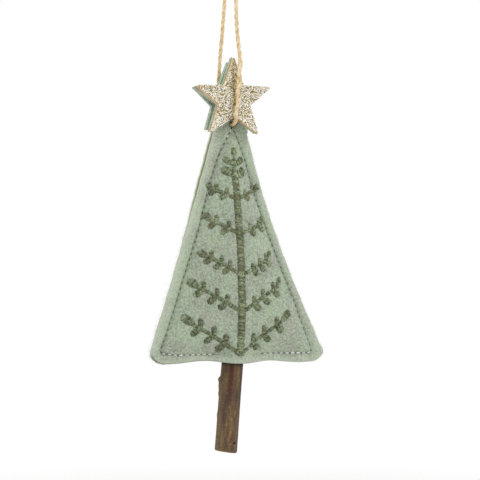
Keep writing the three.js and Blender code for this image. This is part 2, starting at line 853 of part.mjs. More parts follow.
const hanger = new THREE.Group();
hanger.position.copy(ornament.position);
hanger.add(named("twine_front", twineStrand(frontTwinePlaces), "twine"));
hanger.add(named("twine_back", twineStrand(backTwinePlaces), "twine"));
hanger.add(named("twine_knot", knot(), "twine"));
hanger.add(named("twine_tail_left", tail(-1), "twine"));
hanger.add(named("twine_tail_right", tail(1), "twine"));
group.add(hanger);

export default group;
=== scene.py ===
# %% [markdown]
# # A felt Christmas tree ornament
#
# Two faces of thick sage felt are sewn together round a little filling. The front carries a sprig
# in satin stitch. A twig is glued in as the trunk, a glittered star sits on the tip, and a loop of
# jute twine goes through a hole just under it. Every piece is a surface worked out with numpy, in
# millimetres measured from that hole, and only the last step turns millimetres into metres.

import json
import math

import bpy
import numpy as np
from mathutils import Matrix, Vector


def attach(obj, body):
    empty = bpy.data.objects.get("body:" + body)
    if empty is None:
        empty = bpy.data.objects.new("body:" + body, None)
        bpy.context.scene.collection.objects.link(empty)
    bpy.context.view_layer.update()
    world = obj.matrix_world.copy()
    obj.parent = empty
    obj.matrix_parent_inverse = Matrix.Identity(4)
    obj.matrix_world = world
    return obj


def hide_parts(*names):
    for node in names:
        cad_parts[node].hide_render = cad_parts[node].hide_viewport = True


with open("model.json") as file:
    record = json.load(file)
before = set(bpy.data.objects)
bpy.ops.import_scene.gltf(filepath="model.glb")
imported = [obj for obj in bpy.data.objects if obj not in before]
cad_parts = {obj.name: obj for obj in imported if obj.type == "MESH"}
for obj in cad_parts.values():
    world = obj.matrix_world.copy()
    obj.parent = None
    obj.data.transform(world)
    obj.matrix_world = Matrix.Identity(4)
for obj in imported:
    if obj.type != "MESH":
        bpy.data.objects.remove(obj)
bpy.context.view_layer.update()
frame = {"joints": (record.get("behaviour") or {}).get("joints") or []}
MM = 0.001
HOLE = np.array(frame["joints"][0]["pos_m"]) / MM
print("twine hole, mm from the loop's top:", HOLE)

# %% [markdown]
# ## Camera
#
# The photograph looks at the ornament from a little to the left, level with its middle, through a
# long lens, so near and far pieces keep almost the same scale. A camera is placed by the thing it
# looks at, a distance and an angle. That is easier to correct than three coordinates.

# %% Camera
AZIMUTH = math.radians(-21)
DISTANCE = 0.72
AIM = Vector((0.0044, 0, -0.1379))
SENSOR_WIDTH = 36.0
FOCAL_LENGTH = 129.6

camera = bpy.data.objects.new("camera", bpy.data.cameras.new("camera"))
bpy.context.scene.collection.objects.link(camera)
back = Vector((math.sin(AZIMUTH), -math.cos(AZIMUTH), 0))
camera.location = AIM + back * DISTANCE
camera.rotation_mode = "QUATERNION"
camera.rotation_quaternion = (-back).to_track_quat("-Z", "Y")
camera.data.sensor_width = SENSOR_WIDTH
camera.data.lens = FOCAL_LENGTH
camera.data.clip_start = 0.01
bpy.context.scene.camera = camera
print("camera at", [round(v, 4) for v in camera.location])

# %% [markdown]
# ## From arrays to meshes
#
# Nearly everything here is either a skin over rings of points, such as a thread, a twig or a star,
# or a sheet between two grids of points, such as felt. Both become one list of points and one list
# of faces, whole arrays at a time. That keeps thousands of stitches quick.


# %% Skins and sheets
def skin(rings, looped=False):
    """Faces over rings of points. rings has the shape (tubes, rings, sides, 3). Ring i is joined to
    ring i + 1 by four-sided faces all round, and each end is closed by one face, or where looped
    the last ring is joined to the first. Sides run anticlockwise about the way the rings go."""
    tubes, count, sides, _ = rings.shape
    at = np.arange(tubes * count * sides).reshape(tubes, count, sides)
    low = at if looped else at[:, :-1]
    high = np.roll(at, -1, 1) if looped else at[:, 1:]
    quads = np.stack([low, np.roll(low, -1, 2), np.roll(high, -1, 2), high], -1)
    faces = [quads.reshape(-1, 4)]
    if not looped:
        faces += [at[:, 0, ::-1], at[:, -1]]
    return rings.reshape(-1, 3), faces


def sheet(near, far, layers=4):
    """A closed sheet between two grids of points of the shape (rows, columns, 3). near faces -Y and
    far faces +Y. The rim between them has a few layers of faces."""
    rows, columns, _ = near.shape
    at = np.arange(rows * columns).reshape(rows, columns)
    quads = np.stack([at[:-1, :-1], at[1:, :-1], at[1:, 1:], at[:-1, 1:]], -1).reshape(-1, 4)
    loop = np.concatenate([at[0, :-1], at[:-1, -1], at[-1, :0:-1], at[:0:-1, 0]])
    flat_near, flat_far = near.reshape(-1, 3), far.reshape(-1, 3)
    steps = np.arange(1, layers)[:, None, None] / layers
    rim = flat_near[loop] * (1 - steps) + flat_far[loop] * steps
    middle = 2 * rows * columns + np.arange(rim.shape[0] * len(loop)).reshape(-1, len(loop))
    rings = np.concatenate([loop[None], middle, loop[None] + rows * columns])
    ahead = np.roll(rings, -1, 1)
    edge = np.stack([rings[:-1], ahead[:-1], ahead[1:], rings[1:]], -1).reshape(-1, 4)
    points = np.concatenate([flat_near, flat_far, rim.reshape(-1, 3)])
    return points, [quads, quads[:, ::-1] + rows * columns, edge]


# %% Pieces
def piece(name, shape, finish, slot, node=None, body="ornament", **fields):
    """Makes a mesh object from points in mm, measured from the twine hole, and lists of faces. Each
    extra field is stored on the points, as a number or as a vector, for the material to read. slot
    is not used, and node is the CAD solid that it stands for."""
    points, faces = shape
    mesh = bpy.data.meshes.new(name)
    mesh.vertices.add(len(points))
    mesh.vertices.foreach_set("co", ((points + HOLE) * MM).ravel())
    sides = np.concatenate([np.full(len(group), group.shape[1]) for group in faces])
    corners = np.concatenate([group.ravel() for group in faces])
    mesh.loops.add(len(corners))
    mesh.loops.foreach_set("vertex_index", corners.astype(np.int32))
    mesh.polygons.add(len(sides))
    mesh.polygons.foreach_set("loop_start", (np.cumsum(sides) - sides).astype(np.int32))
    mesh.polygons.foreach_set("use_smooth", np.ones(len(sides), bool))
    mesh.update(calc_edges=True)
    mesh.validate()
    for field, values in fields.items():
        kind, key = ("FLOAT", "value") if values.ndim == 1 else ("FLOAT_VECTOR", "vector")
        mesh.attributes.new(field, kind, "POINT").data.foreach_set(key, values.ravel())
    mesh.materials.append(finish)
    made = bpy.data.objects.new(name, mesh)
    bpy.context.scene.collection.objects.link(made)
    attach(made, body)
    if node:
        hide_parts(node)
    print(f"{name}: {len(points)} points, {len(sides)} faces")
    return made


# %% [markdown]
# ## Threads
#
# Twine, sewing thread and embroidery are all one shape: a round section carried along a path. The
# section is placed by the path's direction and one steady side direction. Each point also keeps
# its place on the thread laid out straight, so that a material can draw fibres along the thread
# with no seam.


# %% Paths and tubes
LAID_APART = 37.0
HAIR_ASIDE = (0.31, 0.17, 0.93)


def unit(vectors):
    """Vectors scaled to length one."""
    return vectors / np.linalg.norm(vectors, axis=-1, keepdims=True)


def hump(x, at, wide, power=2):
    """A smooth hump over x: 1 at one place, and a share of 1 / e at wide to either side of it."""
    return np.exp(-(((x - at) / wide) ** power))


def how_far(path):
    """How far along a path each of its points lies."""
    return np.concatenate([[0], np.cumsum(np.linalg.norm(np.diff(path, axis=0), axis=1))])


def places_along(path, distances):
    """The places that lie at given distances along a path."""
    far = how_far(path)
    return np.stack([np.interp(distances, far, values) for values in path.T], -1)


def tubes(paths, radii, sides, aside):
    """Rings of points round paths of the shape (tubes, rings, 3). Each ring is centre + radius times
    (side cos a + up sin a), where up is the path's direction crossed with aside, and side is at
    right angles to both. Also returns each point's place on the tube laid out straight, where each
    tube starts LAID_APART further on, so that no two show the same fibres."""
    forward = unit(np.gradient(paths, axis=1))
    up = unit(np.cross(forward, np.broadcast_to(aside, paths.shape)))
    side = np.cross(up, forward)
    angle = 2 * np.pi * np.arange(sides) / sides
    across, over = np.cos(angle), np.sin(angle)
    spokes = side[:, :, None] * across[:, None] + up[:, :, None] * over[:, None]
    rings = paths[:, :, None] + spokes * radii[:, :, None, None]
    steps = np.linalg.norm(np.diff(paths, axis=1), axis=2)
    begin = LAID_APART * np.arange(len(paths))[:, None]
    along = np.cumsum(np.pad(steps, ((0, 0), (1, 0))), 1) + begin
    offsets = (radii[:, :, None] * across, radii[:, :, None] * over)
    laid = np.stack(np.broadcast_arrays(along[:, :, None], *offsets), -1)
    return rings, laid.reshape(-1, 3)


def curved_hairs(root, way, curl, radii):
    """Fine tubes with three sides. A hair's centre is root + way t + curl t squared, t from 0 to 1."""
    t = np.linspace(0, 1, 5)[:, None]
    paths = root[:, None] + way[:, None] * t + curl[:, None] * t**2
    return tubes(paths, np.tile(radii, (len(root), 1)), 3, HAIR_ASIDE)


def smooth_path(places, step):
    """A centripetal Catmull-Rom curve through places, with points a given step apart."""
    p = np.array(places, float)
    p = np.concatenate([[2 * p[0] - p[1]], p, [2 * p[-1] - p[-2]]])
    knots = np.sqrt(np.linalg.norm(np.diff(p, axis=0), axis=1))[:, None]
    before, here, after = knots[:-2], knots[1:-1], knots[2:]
    a, b, c, d = p[:-3], p[1:-2], p[2:-1], p[3:]
    leave = here * ((b - a) / before - (c - a) / (before + here) + (c - b) / here)
    reach = here * ((c - b) / here - (d - b) / (here + after) + (d - c) / after)
    t = np.linspace(0, 1, 60, endpoint=False)[:, None, None]
    curve = b + leave * t + (3 * (c - b) - 2 * leave - reach) * t**2
    curve = curve + (2 * (b - c) + leave + reach) * t**3
    curve = np.concatenate([curve.transpose(1, 0, 2).reshape(-1, 3), p[-2:-1]])
    length = how_far(curve)[-1]
    return places_along(curve, np.linspace(0, length, round(length / step) + 1))


# %% [markdown]
# ## Nodes and colours
#
# Colours are written as the eye sees them, in sRGB, and one function turns them to the linear light
# that the renderer works in. One more function adds any node with its settings and links, and the
# part of it that feeds a node's inputs also feeds the shader at the end of each material.


# %% Colour and node helpers
def linear(hex_colour):
    """An sRGB colour such as #a9b7a3 as linear red, green, blue and alpha."""
    values = np.array([int(hex_colour[i : i + 2], 16) / 255 for i in (1, 3, 5)])
    low = values / 12.92
    high = ((values + 0.055) / 1.055) ** 2.4
    return (*np.where(values <= 0.04045, low, high), 1.0)


def feed(node, inputs):
    """Sets a node's inputs: each to a value, to a colour written in hex, to one output of another
    node, or to another node, which means the first output that it has in use."""
    for socket, value in dict(inputs).items():
        if isinstance(value, bpy.types.Node):
            value = next(output for output in value.outputs if output.enabled)
        if isinstance(value, bpy.types.NodeSocket):
            node.id_data.links.new(value, node.inputs[socket])
        else:
            node.inputs[socket].default_value = linear(value) if isinstance(value, str) else value


def add(tree, kind, inputs=(), stops=(), **settings):
    """Adds a node, and feeds it. stops are the places and colours, or shares, of a colour ramp."""
    node = tree.nodes.new("ShaderNode" + kind)
    for setting, value in settings.items():
        setattr(node, setting, value)
    feed(node, inputs)
    while stops and len(node.color_ramp.elements) < len(stops):
        node.color_ramp.elements.new(0.5)
    for element, (place, colour) in zip(node.color_ramp.elements if stops else (), stops):
        element.position = place
        element.color = linear(colour) if isinstance(colour, str) else (colour,) * 3 + (1,)
    return node


def material(name, **constants):
    """A new material's node tree and shader, with the shader's constants set on its own sockets."""
    made = bpy.data.materials.new(name)
    made.use_nodes = True
    shader = made.node_tree.nodes["Principled BSDF"]
    feed(shader, {socket.replace("_", " "): value for socket, value in constants.items()})
    return made, made.node_tree, shader


def per_mm(size):
    """The scale of a pattern on Object coordinates, in metres, whose features are size mm wide."""
    return 1 / (size * MM)


# %% [markdown]
# ## Jute twine
#
# Jute twine is two hairy strands twisted together. The twist is what the eye reads first: a slanted
# light and dark band every few millimetres. So the two strands are modelled, each carried on a
# helix round the route, and loosened where the photograph shows them opened out over the star.
# The material only draws the fibres in each strand.

# %% Jute material
jute, tree, shader = material("jute fibre, spun", Roughness=0.85, Sheen_Weight=0.25)
place = add(tree, "Attribute", attribute_name="laid").outputs["Vector"]
# Fibres are about 0.05 mm thick and are drawn at 0.2 mm, long along the strand, so that they show
fibre_place = add(tree, "Mapping", {0: place, "Scale": (0.35, 4.5, 4.5)})
fibres = add(tree, "TexNoise", {0: fibre_place, "Scale": 1.2, "Detail": 4})
patches = add(tree, "TexNoise", {0: place, "Scale": 0.45, "Detail": 2})
mixed = add(tree, "Math", {0: fibres, 1: patches}, operation="ADD")
halved = add(tree, "Math", {0: mixed, 1: 0.5}, operation="MULTIPLY")
straws = [(0.3, "#b08d5a"), (0.43, "#d8b681"), (0.54, "#f3dcb0"), (0.68, "#fbebc8")]
straw = add(tree, "ValToRGB", {0: halved}, straws)
relief = add(tree, "Bump", {"Height": fibres, "Distance": 0.25 * MM, "Strength": 0.9})
feed(shader, {"Base Color": straw, "Normal": relief})

# %% Twine route and strands
TWINE_DIAMETER = 1.6
PLY_RADIUS = 0.58
TWIST_PITCH = 6.2
LOOSE_HEIGHT = 20.5
LOOSE_REACH = 5.5
ROUTE_STEP = 0.42
FIBRE_RADII = np.array([0.04, 0.038, 0.033, 0.026, 0.012])
FRONT_ROUTE = [
    (0, -0.15, 0), (-0.05, -3.4, 0.05), (-0.35, -6.3, 0.5), (-0.8, -8.7, 1.3), (-1.2, -9.9, 2.6),
    (-1.2, -10, 4.2), (-0.55, -9.6, 6.6), (-0.1, -9.2, 9.3), (0.05, -8.85, 12), (0.5, -8.4, 14.8),
    (0.95, -8, 17.5), (1.2, -7.6, 20.3), (1.6, -7.2, 23), (1.8, -6.8, 26), (1.7, -6.5, 29),
    (1.25, -6, 34), (0.9, -5.5, 40), (0.9, -4.5, 51), (0.5, -2.9, 70), (0.1, -0.95, 90.1),
]
BACK_ROUTE = [
    (0, 0.15, 0), (0, 3.4, 0.1), (-0.3, 6.2, 0.5), (-1, 7.8, 1.9), (-1.7, 8.1, 5), (-2.1, 7.8, 9),
    (-2.4, 7.3, 14), (-2.6, 6.9, 18), (-2.5, 6.5, 22), (-2.3, 6.2, 27), (-2, 5.7, 32),
    (-1.6, 5.2, 38), (-1.25, 4.6, 45), (-0.9, 4, 53), (-0.5, 2.7, 70), (-0.1, 0.95, 90.1),
]
rng = np.random.default_rng(24)


def plies(route, aside, phase=0.0, loosened=False, hairs=300):
    """Two strands on a helix round a route, and short hairs that stand off them. Each strand's
    centre is the route plus its offset times (side cos turn + up sin turn), half a turn apart."""
    forward = unit(np.gradient(route, axis=0))
    up = unit(np.cross(forward, aside))
    side = np.cross(up, forward)
    loose = hump(route[:, 2], LOOSE_HEIGHT, LOOSE_REACH) * loosened
    offset = TWINE_DIAMETER / 2 - PLY_RADIUS + 0.06 + 0.36 * loose
    steps = np.linalg.norm(np.gradient(route, axis=0), axis=1)
    turn = phase + np.cumsum(2 * np.pi * steps / TWIST_PITCH * (1 - 0.8 * loose))
    turns = turn + np.pi * np.arange(2)[:, None]
    arm = side * np.cos(turns)[..., None] + up * np.sin(turns)[..., None]
    paths = route + arm * offset[:, None]
    uneven = 1 + 0.07 * np.sin(turns * 0.83 + 1.3) + 0.04 * np.sin(turns * 2.9)
    radii = (PLY_RADIUS + 0.12 * loose) * uneven
    radii[:, [0, -1]] *= 0.7
    rings, laid = tubes(paths, radii, 10, aside)
    start = rng.integers(2, len(route) - 8, hairs)
    which = rng.integers(0, 2, hairs)
    root = paths[which, start]
    out = unit(rng.normal(size=(hairs, 3)))
    lean = unit(forward[start] * rng.choice([-1, 1], hairs)[:, None] + 0.7 * out)
    reach = rng.uniform(0.9, 2.4, (hairs, 1))
    bend = unit(rng.normal(size=(hairs, 3))) * reach * 0.35
    hair_rings, hair_laid = curved_hairs(root, lean * reach, bend, FIBRE_RADII)
    return join([skin(rings), skin(hair_rings)]), np.concatenate([laid, hair_laid])


def join(shapes):
    """Several shapes as one list of points and one list of groups of faces."""
    starts = np.cumsum([0] + [len(points) for points, _ in shapes])
    points = np.concatenate([points for points, _ in shapes])
    return points, [group + start for (_, faces), start in zip(shapes, starts) for group in faces]


# %% Twine pieces
def twine_cord(name, places, node, exit_place, phase, loosened=False):
    """One strand of the hanging loop, from the hole in the tip up to the knot."""
    route = smooth_path(places, ROUTE_STEP)
    shape, laid = plies(route, (1, 0, 0), phase, loosened)
    made = piece(name, shape, jute, "twine", node, "hanger", laid=laid)
    length = np.linalg.norm(np.diff(route, axis=0), axis=1).sum()
    print(f"{name}: {length:.1f} mm long")
    return made, route, length, exit_place


front_cord = twine_cord("front_twine", FRONT_ROUTE, "twine_front", (0, -2.75, 0), 0.4, True)
back_cord = twine_cord("back_twine", BACK_ROUTE, "twine_back", (0, 2.75, 0), 1.7)

# %% [markdown]
# The two strands end in one overhand knot above the top of the loop, outside the photograph. Its
# path is the curve of a trefoil, opened below where the strands come in, and two tails stand up.

# %% Knot and tails
KNOT_RADIUS = 2.4
KNOT_HEIGHT = 93.6
KNOT_NARROWING = 0.3
TAIL_FOOT = KNOT_HEIGHT + 0.66 * KNOT_RADIUS + TWINE_DIAMETER / 2 + 0.3
TAIL_LENGTH = 9.0
TAIL_SPLAY = 2.4

angle = np.pi * (1 + 2 * np.linspace(0.03, 0.97, 90))
knot_x = KNOT_RADIUS / 3 * (np.sin(angle) + 2 * np.sin(2 * angle))
knot_y = -KNOT_RADIUS / 2 * np.sin(3 * angle)
knot_z = KNOT_RADIUS / 3 * (np.cos(angle) - 2 * np.cos(2 * angle)) + KNOT_HEIGHT
strands = [plies(np.stack([knot_x, knot_y, knot_z], 1), (0, 1, 0), hairs=40)]
# Each strand runs on into the knot, and the tails start inside it
for _, route, _, _ in (front_cord, back_cord):
    middle = route[-1] * (KNOT_NARROWING, KNOT_NARROWING, 0) + (0, 0, KNOT_HEIGHT)
    strands.append(plies(np.linspace(route[-2], middle, 14), (1, 0, 0), hairs=0))
shape, laid = join([shape for shape, _ in strands]), np.concatenate([laid for _, laid in strands])
on_front = [piece("twine_loop_knot", shape, jute, "twine", "twine_knot", "hanger", laid=laid)]
share = np.linspace(-0.2, 1, 26)
for side_name, way in (("left", -1), ("right", 1)):
    tail_x = way * (KNOT_RADIUS / 2 + TAIL_SPLAY * share**2)
    route = np.stack([tail_x, 0 * share, TAIL_FOOT + TAIL_LENGTH * share], 1)
    shape, laid = plies(route, (0, 1, 0), way, hairs=60)
    name, node = f"twine_end_{side_name}", f"twine_tail_{side_name}"
    on_front.append(piece(name, shape, jute, "twine", node, "hanger", laid=laid))

# %% [markdown]
# ## The tree's shape
#
# The outline is a narrow triangle whose sides flare a little, with a round tip and round lower
# corners. The felt lies flat outside the stitch line and swells over the filling inside it, and
# once more over the twig. Each of these is a function of the place across and the height below the
# hole, so that felt, stitches and embroidery all find the same surface.

# %% Outline and swelling
FELT_THICKNESS = 2.6
SEAM_GAP = 0.3
HOLE_TO_HEM = 98.7
HALF_AT_HOLE = 6.0
HALF_AT_HEM = 40.0
CORNER_RADIUS = 5.4
STITCH_INSET = 3.5
TWIG_RADIUS = 4.65
TWIG_LEAN = math.radians(4.7)
TWIG_SIDE = 1.05
TWIG_INSERTED = 24.0
TWIG_END = 135.8
# A side slants, so the distance square to it is this share of the distance straight across
SLOPE = 0.95
HOLE_REACH = 11
TIP_CLOSED = 1.2
TIP_OPENING = 4.5
SWELLING = 4.2


def half_width(z):
    """Half the tree's width: a circle above the hole, and below it a flare, mostly straight."""
    down = -z / HOLE_TO_HEM
    flare = 0.731 * down + 0.269 * down**2
    round_tip = np.sqrt(np.maximum(HALF_AT_HOLE**2 - z**2, 0))
    return np.where(z > 0, round_tip, HALF_AT_HOLE + (HALF_AT_HEM - HALF_AT_HOLE) * flare)


def centre_line(z):
    """The middle of the outline, which drifts to one side towards the hem."""
    return 3.8 * (np.maximum(-z - 25, 0) / (HOLE_TO_HEM - 25)) ** 1.5 - 0.6


def stitch_centre(z):
    """The middle of the two lines of stitches, which meet to the right of the outline's middle."""
    drift = 0.25 * np.clip(1 + z / HOLE_TO_HEM, 0, 1)
    return centre_line(z) - drift + 0.75 * hump(z, 0, HOLE_REACH)


def opened(z):
    """How far the tree has opened below its closed tip, from 0 towards 1."""
    return 1 - np.exp(-np.maximum(-z - TIP_CLOSED, 0) / TIP_OPENING)


def stitch_half(z):
    """Half the distance between the lines of stitches, which close in below the hole."""
    spread = 0.35 * np.clip(1 + z / 75, 0, 1) - 0.75 * hump(z, 0, HOLE_REACH)
    return (half_width(z) - STITCH_INSET / SLOPE + spread) * opened(z)


def twig_line(z):
    return TWIG_SIDE + (z + HOLE_TO_HEM) * math.tan(TWIG_LEAN)


def hem_lift(x, z):
    """The hem waves: it rises beside the twig, more on the left, and hangs lower over the twig."""
    near_hem = np.clip(1 - (z + HOLE_TO_HEM) / 11, 0, 1)
    beside = 1.1 * hump(x, -12.5, 8.8) + 0.55 * hump(x, 17, 5) - 0.5 * hump(x, 31, 6)
    return near_hem * (beside - 0.13 - 0.22 * hump(x, 2.5, 8, 4))


def inner_face(x, z):
    """How far a felt's inner face stands off the middle plane: the filling's swelling and the twig's
    pocket, blended so that the larger one shows."""
    from_side = np.maximum((half_width(z) - np.abs(x - stitch_centre(z))) * SLOPE, 0.01)
    from_hem = np.maximum(z + HOLE_TO_HEM, 0.01)
    from_both = (from_side**-6 + from_hem**-6) ** (-1 / 6)
    share = np.clip((from_both - STITCH_INSET) / 14, 0, 1)
    swelling = SWELLING * share * (2 - share) * opened(z)
    aside = np.minimum(np.abs(x - twig_line(z)) / 12.5, 1)
    fade = np.clip((-HOLE_TO_HEM + TWIG_INSERTED + 18 - z) / 15, 0, 1)
    pocket = (TWIG_RADIUS + 0.5) * (1 + np.cos(np.pi * aside)) * fade / 2
    return SEAM_GAP / 2 + (swelling**6 + pocket**6) ** (1 / 6)


def outer_face(x, z):
    return inner_face(x, z) + FELT_THICKNESS


print("width at the hem, mm:", 2 * float(half_width(np.array(-HOLE_TO_HEM))))


# %% Distance to a line on the felt
def nearest_on(path, x, z):
    """For each place: how far it is from a path, how far along the path the nearest point is, and
    on which side. Each place is projected on every piece of the path, and the nearest one kept."""
    start, step = path[:-1], np.diff(path, axis=0)
    size = np.linalg.norm(step, axis=1)
    before = np.cumsum(size) - size
    found = []
    for block in np.array_split(np.stack([x.ravel(), z.ravel()], 1), max(x.size // 4000, 1)):
        away = block[:, None] - start
        share = np.clip((away * step).sum(2) / size**2, 0, 1)
        rest = away - share[..., None] * step
        gap = np.linalg.norm(rest, axis=2)
        best = gap.argmin(1)[:, None]
        turn = step[:, 0] * rest[..., 1] - step[:, 1] * rest[..., 0]
        values = (gap, before + share * size, np.sign(turn))
        found.append(np.concatenate([np.take_along_axis(v, best, 1) for v in values], 1))
    return np.concatenate(found).T.reshape(3, *x.shape)


# %% [markdown]
# ## The sprig, drawn before it is sewn
#
# A trunk, five pairs of rising branches with leaves above and below, and a bud with two pairs of
# round leaves at the top. The design is a rule, not a list of leaves: a leaf's foot is a share of
# the branch, upper leaves stand nearly upright and lower ones hang outwards. The felt needs it
# first, because stitches press the felt down.

# %% Sprig design
TRUNK_TOP = -20.6
TRUNK_FOOT = -95.0
# The pairs of branches from the top down. join is how far down each meets the trunk. For the left
# and the right branch of a pair, reach is a share of the tree's half width there, rise a share of the
# reach, bend the power of its curve, and leaves the places of its leaves as shares of the reach. size
# is for the leaves above and below
TIER_SHARES = {
    "join": (0.311, 0.456, 0.628, 0.785, 0.962),
    "reach": ((0.7, 0.65), (0.605, 0.58), (0.586, 0.521), (0.569, 0.539), (0.51, 0.4925)),
    "rise": ((0.44, 0.4), (0.47, 0.39), (0.53, 0.53), (0.58, 0.63), (0.64, 0.714)),
    "bend": ((0.95, 0.8), (0.9, 1.1), (0.8, 1.1), (0.76, 0.85), (0.72, 0.83)),
    "size": ((0.64, 0.76), (0.76, 0.9), (0.76, 0.86), (0.86, 1.0), (1.0, 1.03)),
    "leaves": (
        ((0.4, 0.79), (0.38, 0.79)),
        ((0.39, 0.81), (0.43, 0.82)),
        ((0.32, 0.57, 0.855), (0.37, 0.61, 0.86)),
        ((0.33, 0.585, 0.9), (0.32, 0.56, 0.85)),
        ((0.275, 0.55, 0.85), (0.33, 0.575, 0.87)),
    ),
}
BRANCH_WIDTHS = (1.5, 1.25)
BRANCH_BEND = 2.0
BRANCH_SLANT = 0.8
# Leaves above and below a branch, to the left and to the right of the trunk: degrees above the
# horizontal, length and width. Then the leaf at the end of each branch, from the top pair down
LEAVES = (((85, 4.2, 2.6), (-27, 4.5, 3.0)), ((84, 4.0, 2.3), (-38, 4.0, 3.2)))
END_LEAVES = [
    ((45, 2.7, 2.5), (60, 3.0, 2.9)),
    ((42, 4.5, 3.2), (80, 2.9, 1.8)),
    ((30, 4.2, 3.1), (74, 3.3, 1.9)),
    ((35, 6.0, 3.9), (62, 4.4, 2.4)),
    ((38, 6.8, 4.0), (44, 6.8, 3.7)),
]


def trunk_line(z):
    """The trunk bows a little to the right and ends over the twig."""
    share = (z - TRUNK_TOP) / (TRUNK_FOOT - TRUNK_TOP)
    bow = 3.1 * share * (2 - 2 * share) - 0.4 * hump(z, -38, 10)
    return (twig_line(TRUNK_FOOT) + 0.2) * share + bow


def trunk_width(z):
    """The trunk widens downwards and ends in a small round bend."""
    end = np.clip((-94.2 - z) / 1.7, 0, 1)
    return (3.4 + 0.45 * (z - TRUNK_TOP) / (TRUNK_FOOT - TRUNK_TOP)) * np.sqrt(1 - 0.8 * end**2)


def heading(degrees, way=1):
    """A direction on the felt, in degrees above the horizontal, outwards to one side."""
    turn = math.radians(degrees)
    return np.array([way * math.cos(turn), math.sin(turn)])


def branch(tier, way):
    """A branch as a path, and its leaves as (foot, direction, length, width). It rises as a power of
    its reach, and leaves the trunk in a round bend."""
    side = 0 if way < 0 else 1
    z = -TIER_SHARES["join"][tier] * HOLE_TO_HEM
    reach = TIER_SHARES["reach"][tier][side] * float(half_width(np.array(z)))
    rise = TIER_SHARES["rise"][tier][side] * reach
    out = np.linspace(0, reach, 30)
    start = out / (out + BRANCH_BEND) * (reach + BRANCH_BEND) / (reach + BRANCH_SLANT)
    up = rise * (out / reach) ** TIER_SHARES["bend"][tier][side] * start
    path = np.stack([trunk_line(z) + way * out, z + up], 1)
    leaves = []
    for share in TIER_SHARES["leaves"][tier][side]:
        foot = np.array([np.interp(share * reach, out, path[:, i]) for i in range(2)])
        for (degrees, length, width), size in zip(LEAVES[side], TIER_SHARES["size"][tier]):
            leaves.append((foot, heading(degrees, way), size * length, size * width))
    if tier == 0:
        leaves = leaves[: 4 - side]
    degrees, length, width = END_LEAVES[tier][side]
    leaves.append((path[-2], heading(degrees, way), length, width))
    return path, leaves


sprays = {
    f"spray_{side_name}_{tier + 1}": branch(tier, way)
    for tier in range(len(END_LEAVES))
    for side_name, way in (("left", -1), ("right", 1))
}
middle = float(centre_line(np.array(0.0)))
finial_leaves = [
    (np.array([middle + 0.5, -14.6]), heading(91), 5.0, 2.6),
    (np.array([middle + 0.2, -17.0]), heading(145), 5.0, 2.9),
    (np.array([middle + 0.5, -17.3]), heading(38), 5.4, 3.1),
    (np.array([middle + 0.3, -21.5]), heading(146), 5.6, 4.1),
    (np.array([middle + 0.5, -22.0]), heading(33), 6.0, 4.3),
]
finial_stem = np.array([[middle + 0.4, -14.5], [middle + 0.5, -18], [trunk_line(-21.5), -21.5]])
leaf_count = len(finial_leaves) + sum(len(leaves) for _, leaves in sprays.values())
print(len(sprays), "sprays and", leaf_count, "leaves")


# %% Where embroidery presses the felt
STEM_PRESS = 0.7
TRUNK_PRESS = 1.55
PRESS_FADE = 0.9


def pressed(x, z):
    """How deep embroidery presses the felt, from 0 outside it to 1 under it. Each leaf and stem is
    taken as a line with a half width, and the press fades out beside it."""
    lines = [(path, STEM_PRESS) for path, _ in sprays.values()]
    rows = np.linspace(TRUNK_TOP, TRUNK_FOOT, 40)
    lines.append((np.stack([trunk_line(rows), rows], 1), TRUNK_PRESS))
    lines.append((finial_stem, STEM_PRESS))
    every_leaf = finial_leaves + [leaf for _, leaves in sprays.values() for leaf in leaves]
    for foot, direction, length, width in every_leaf:
        ends = np.stack([foot + direction * length * share for share in (0.45, 0.78)])
        lines.append((ends, width / 2 - 0.15))
    depth = np.zeros_like(x)
    for path, reach in lines:
        gap = nearest_on(path, x, z)[0] - reach
        depth = np.maximum(depth, 1 - np.clip((gap + 0.35) / PRESS_FADE, 0, 1))
    return depth**2 * (3 - 2 * depth)


# %% [markdown]
# ## Lines of stitches
#
# A sewing machine's lockstitch shows as short dashes of thread with a needle hole at each end. The
# pull of the thread draws the felt into a groove. The path runs from the twig's left side round
# the tree to its right side, because nothing can be sewn through the twig.

# %% Stitch path
STITCH_PITCH = 2.5
STITCH_CORNER = 1.4
STITCH_RISE_AT = -32
corner_turn = np.linspace(0, np.pi / 2, 8)
hem_stitch = -HOLE_TO_HEM + STITCH_INSET


def stitch_side(way):
    """Half of the stitch path: along the hem, round the corner and up one side to the tip."""
    z_low = hem_stitch + STITCH_CORNER
    x_low = float(stitch_centre(z_low) + way * stitch_half(z_low)) - (way > 0) * 1.45
    hem_x = np.linspace(TWIG_SIDE + 1.3 + way * 11, x_low - way * STITCH_CORNER, 20)
    hem = np.stack([hem_x, np.full(20, hem_stitch)], 1)
    turn = np.stack([np.sin(corner_turn) * way, 1 - np.cos(corner_turn)], 1) * STITCH_CORNER
    corner = np.array([x_low - way * STITCH_CORNER, hem_stitch]) + turn
    up = np.linspace(z_low + 0.5, -1.2, 160)
    # The right line of stitches strays outwards half way down and inwards at the corner
    stray = (way > 0) * np.interp(-up, [30, 60, 74, 82, 92], [0, 0.65, 0.5, -0.4, -1.4])
    stray = stray + (way < 0) * 0.6 * hump(up, -42, 13)
    side = np.stack([stitch_centre(up) + way * stitch_half(up) + stray, up], 1)
    return np.concatenate([hem[:-1], corner, side])


